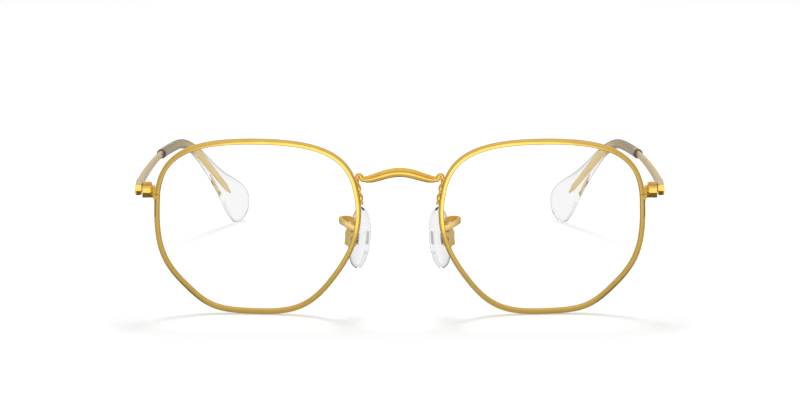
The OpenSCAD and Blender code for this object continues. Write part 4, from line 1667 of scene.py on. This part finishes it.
@dataclass(frozen=True)
class Studio:
    """Pale floor, white surroundings, one soft lamp and the photograph's camera.

    The card figures are how bright the floor looks in the gold: all round, how much more in
    the strip in front, and how much less beneath the glasses. A pair of figures is where a
    change begins and where it is full.
    """

    floor_reach: float = 6.0
    floor_colour: Colour = (0.80, 0.80, 0.80)
    grain_colour: Colour = (0.76, 0.76, 0.76)
    grain_waves: float = 900.0
    grain: float = 0.1
    floor_glow: float = 0.39
    card: float = 0.64
    card_strip: float = 0.86
    card_beneath: float = 0.52
    beneath_wide: float = 0.074
    beneath_deep: float = 0.062
    beneath_more: float = 0.012
    temples: tuple[float, float] = (0.05, 0.056)
    soft: float = 0.006
    strip_near: tuple[float, float] = (0.105, 0.135)
    strip_far: tuple[float, float] = (0.6, 0.9)
    strip_side: tuple[float, float] = (0.06, 0.09)
    low_wall: float = 0.36
    ceiling: float = 0.24
    climb: tuple[float, float] = (0.35, 0.85)
    dimmed: float = 0.5
    lamp_at: tuple[float, float, float] = (0.0, 0.32, 0.68)
    lamp_size: float = 0.22
    lamp_power: float = 2.3
    aim: tuple[float, float, float] = (0.05, -67.0, 29.88)
    distance: float = 800.0
    elevation: float = 10.14
    lens: float = 144.0

    def floor(self) -> None:
        """A wide level floor, white to the camera and through glass.

        What the gold mirrors of it is dark beneath the glasses, of middling brightness round
        them and bright in a wide strip that runs from in front of them towards the camera.
        """
        mesh = bpy.data.meshes.new("floor")
        r = self.floor_reach
        mesh.from_pydata([(-r, -r, 0), (r, -r, 0), (r, r, 0), (-r, r, 0)], [], [(0, 1, 2, 3)])
        material, recipe = new_material("floor_paper")
        grain = recipe.noise(self.grain_waves) * self.grain
        colour = recipe.blend(grain, self.floor_colour, self.grain_colour)
        paper = recipe.node("ShaderNodeBsdfDiffuse", sockets={"Color": colour})
        seen = recipe.light_path("Is Camera Ray").most(recipe.light_path("Is Transmission Ray"))
        glow = recipe.node("ShaderNodeEmission", sockets={"Strength": seen * self.floor_glow})
        both = recipe.node("ShaderNodeAddShader", sockets={0: paper, 1: glow})
        wide, front = recipe.place(Axis.X).size(), recipe.place(Axis.Y) * -1.0
        reach = self.beneath_deep + recipe.between(wide, *self.temples) * self.beneath_more
        past = (wide - self.beneath_wide).most(front.size() - reach)
        beneath = 1.0 - recipe.between(past, -self.soft, self.soft)
        strip = recipe.between(front, *self.strip_near)
        strip = strip * (1.0 - recipe.between(wide, *self.strip_side))
        strip = strip * (1.0 - recipe.between(front, *self.strip_far))
        card = self.card + strip * self.card_strip - beneath * self.card_beneath
        shown = recipe.node("ShaderNodeEmission", sockets={"Strength": card})
        recipe.ends(recipe.either(recipe.mirrored(), both, shown))
        mesh.materials.append(material)
        in_scene("floor", mesh)

    def surroundings(self) -> None:
        """White all round for the camera and through glass, and a studio for the gold.

        What the gold mirrors is of middling brightness low down and brighter towards the
        ceiling, which models the rounded wire.
        """
        world = bpy.data.worlds.new("studio")
        bpy.context.scene.world = world
        world.use_nodes = True
        recipe = Recipe(world.node_tree)
        way = recipe.node("ShaderNodeTexCoord", output="Generated")
        z = recipe.node("ShaderNodeSeparateXYZ", sockets={0: way}, output=Axis.Z.value)
        shaded = self.low_wall - recipe.between(z, *self.climb) * self.ceiling
        spread = recipe.light_path("Is Diffuse Ray")
        light = 1.0 - recipe.mirrored() * shaded - spread * self.dimmed
        back = recipe.node("ShaderNodeBackground", sockets={"Color": (1, 1, 1), "Strength": light})
        recipe.ends(back, "ShaderNodeOutputWorld")

    def lamp(self) -> None:
        """One soft lamp above and behind, which gives the faint shadows under the glasses."""
        data = bpy.data.lights.new("overhead", "AREA")
        data.size = self.lamp_size
        data.energy = self.lamp_power
        lamp = in_scene("overhead", data)
        lamp.location = self.lamp_at
        lamp.rotation_euler = Vector(self.lamp_at).to_track_quat("Z", "Y").to_euler()
        lamp.visible_glossy = False

    def camera(self) -> None:
        """The photograph's camera: it looks down on the front from the given elevation."""
        data = bpy.data.cameras.new("photograph")
        data.lens = self.lens
        data.sensor_width = 36.0
        data.clip_start, data.clip_end = 0.01, 50.0
        camera = in_scene("photograph", data)
        e = math.radians(self.elevation)
        back = Vector((0.0, -math.cos(e), math.sin(e)))
        camera.location = (Vector(self.aim) + back * self.distance) * MM
        camera.rotation_euler = (-back).to_track_quat("-Z", "Y").to_euler()
        bpy.context.scene.camera = camera

    def build(self) -> None:
        """Sets up the whole stage."""
        bpy.context.scene.view_settings.view_transform = "Standard"
        self.camera()
        self.floor()
        self.surroundings()
        self.lamp()


def hinge_place(frame: dict[str, Any]) -> tuple[Points, float]:
    """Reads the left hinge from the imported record.


    Returns:
        The hinge's middle in millimetres, and the angle by which the temples tip down.
    """
    joint = next(j for j in frame["joints"] if j["name"] == "left_temple_fold")
    _, y, z = joint["axis"]
    return np.array(joint["pos_m"]) / MM, math.degrees(math.atan2(y, z))


def main() -> None:
    """Builds the stage and every sub-assembly, and notes a few sizes before and the number of pieces
    after.
    """
    logging.basicConfig(level=logging.INFO, format="%(name)s: %(message)s")
    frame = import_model()
    Studio().build()
    shop, finishes, front = Workshop(frame), Finishes(), Front()
    at, settle = hinge_place(frame)
    log.info("lens centres %.3f above the table, hinge at %s, settle %.3f", front.lens_z, at, settle)
    rims = Rims(front)
    parts = (rims, Lenses(front), Bridge(front), Temple(at, settle), NosePads(front), SmallParts(rims))
    for part in parts:
        part.build(shop, finishes)
    log.info("%d pieces", len(shop.made))


if __name__ == "__main__":
    main()
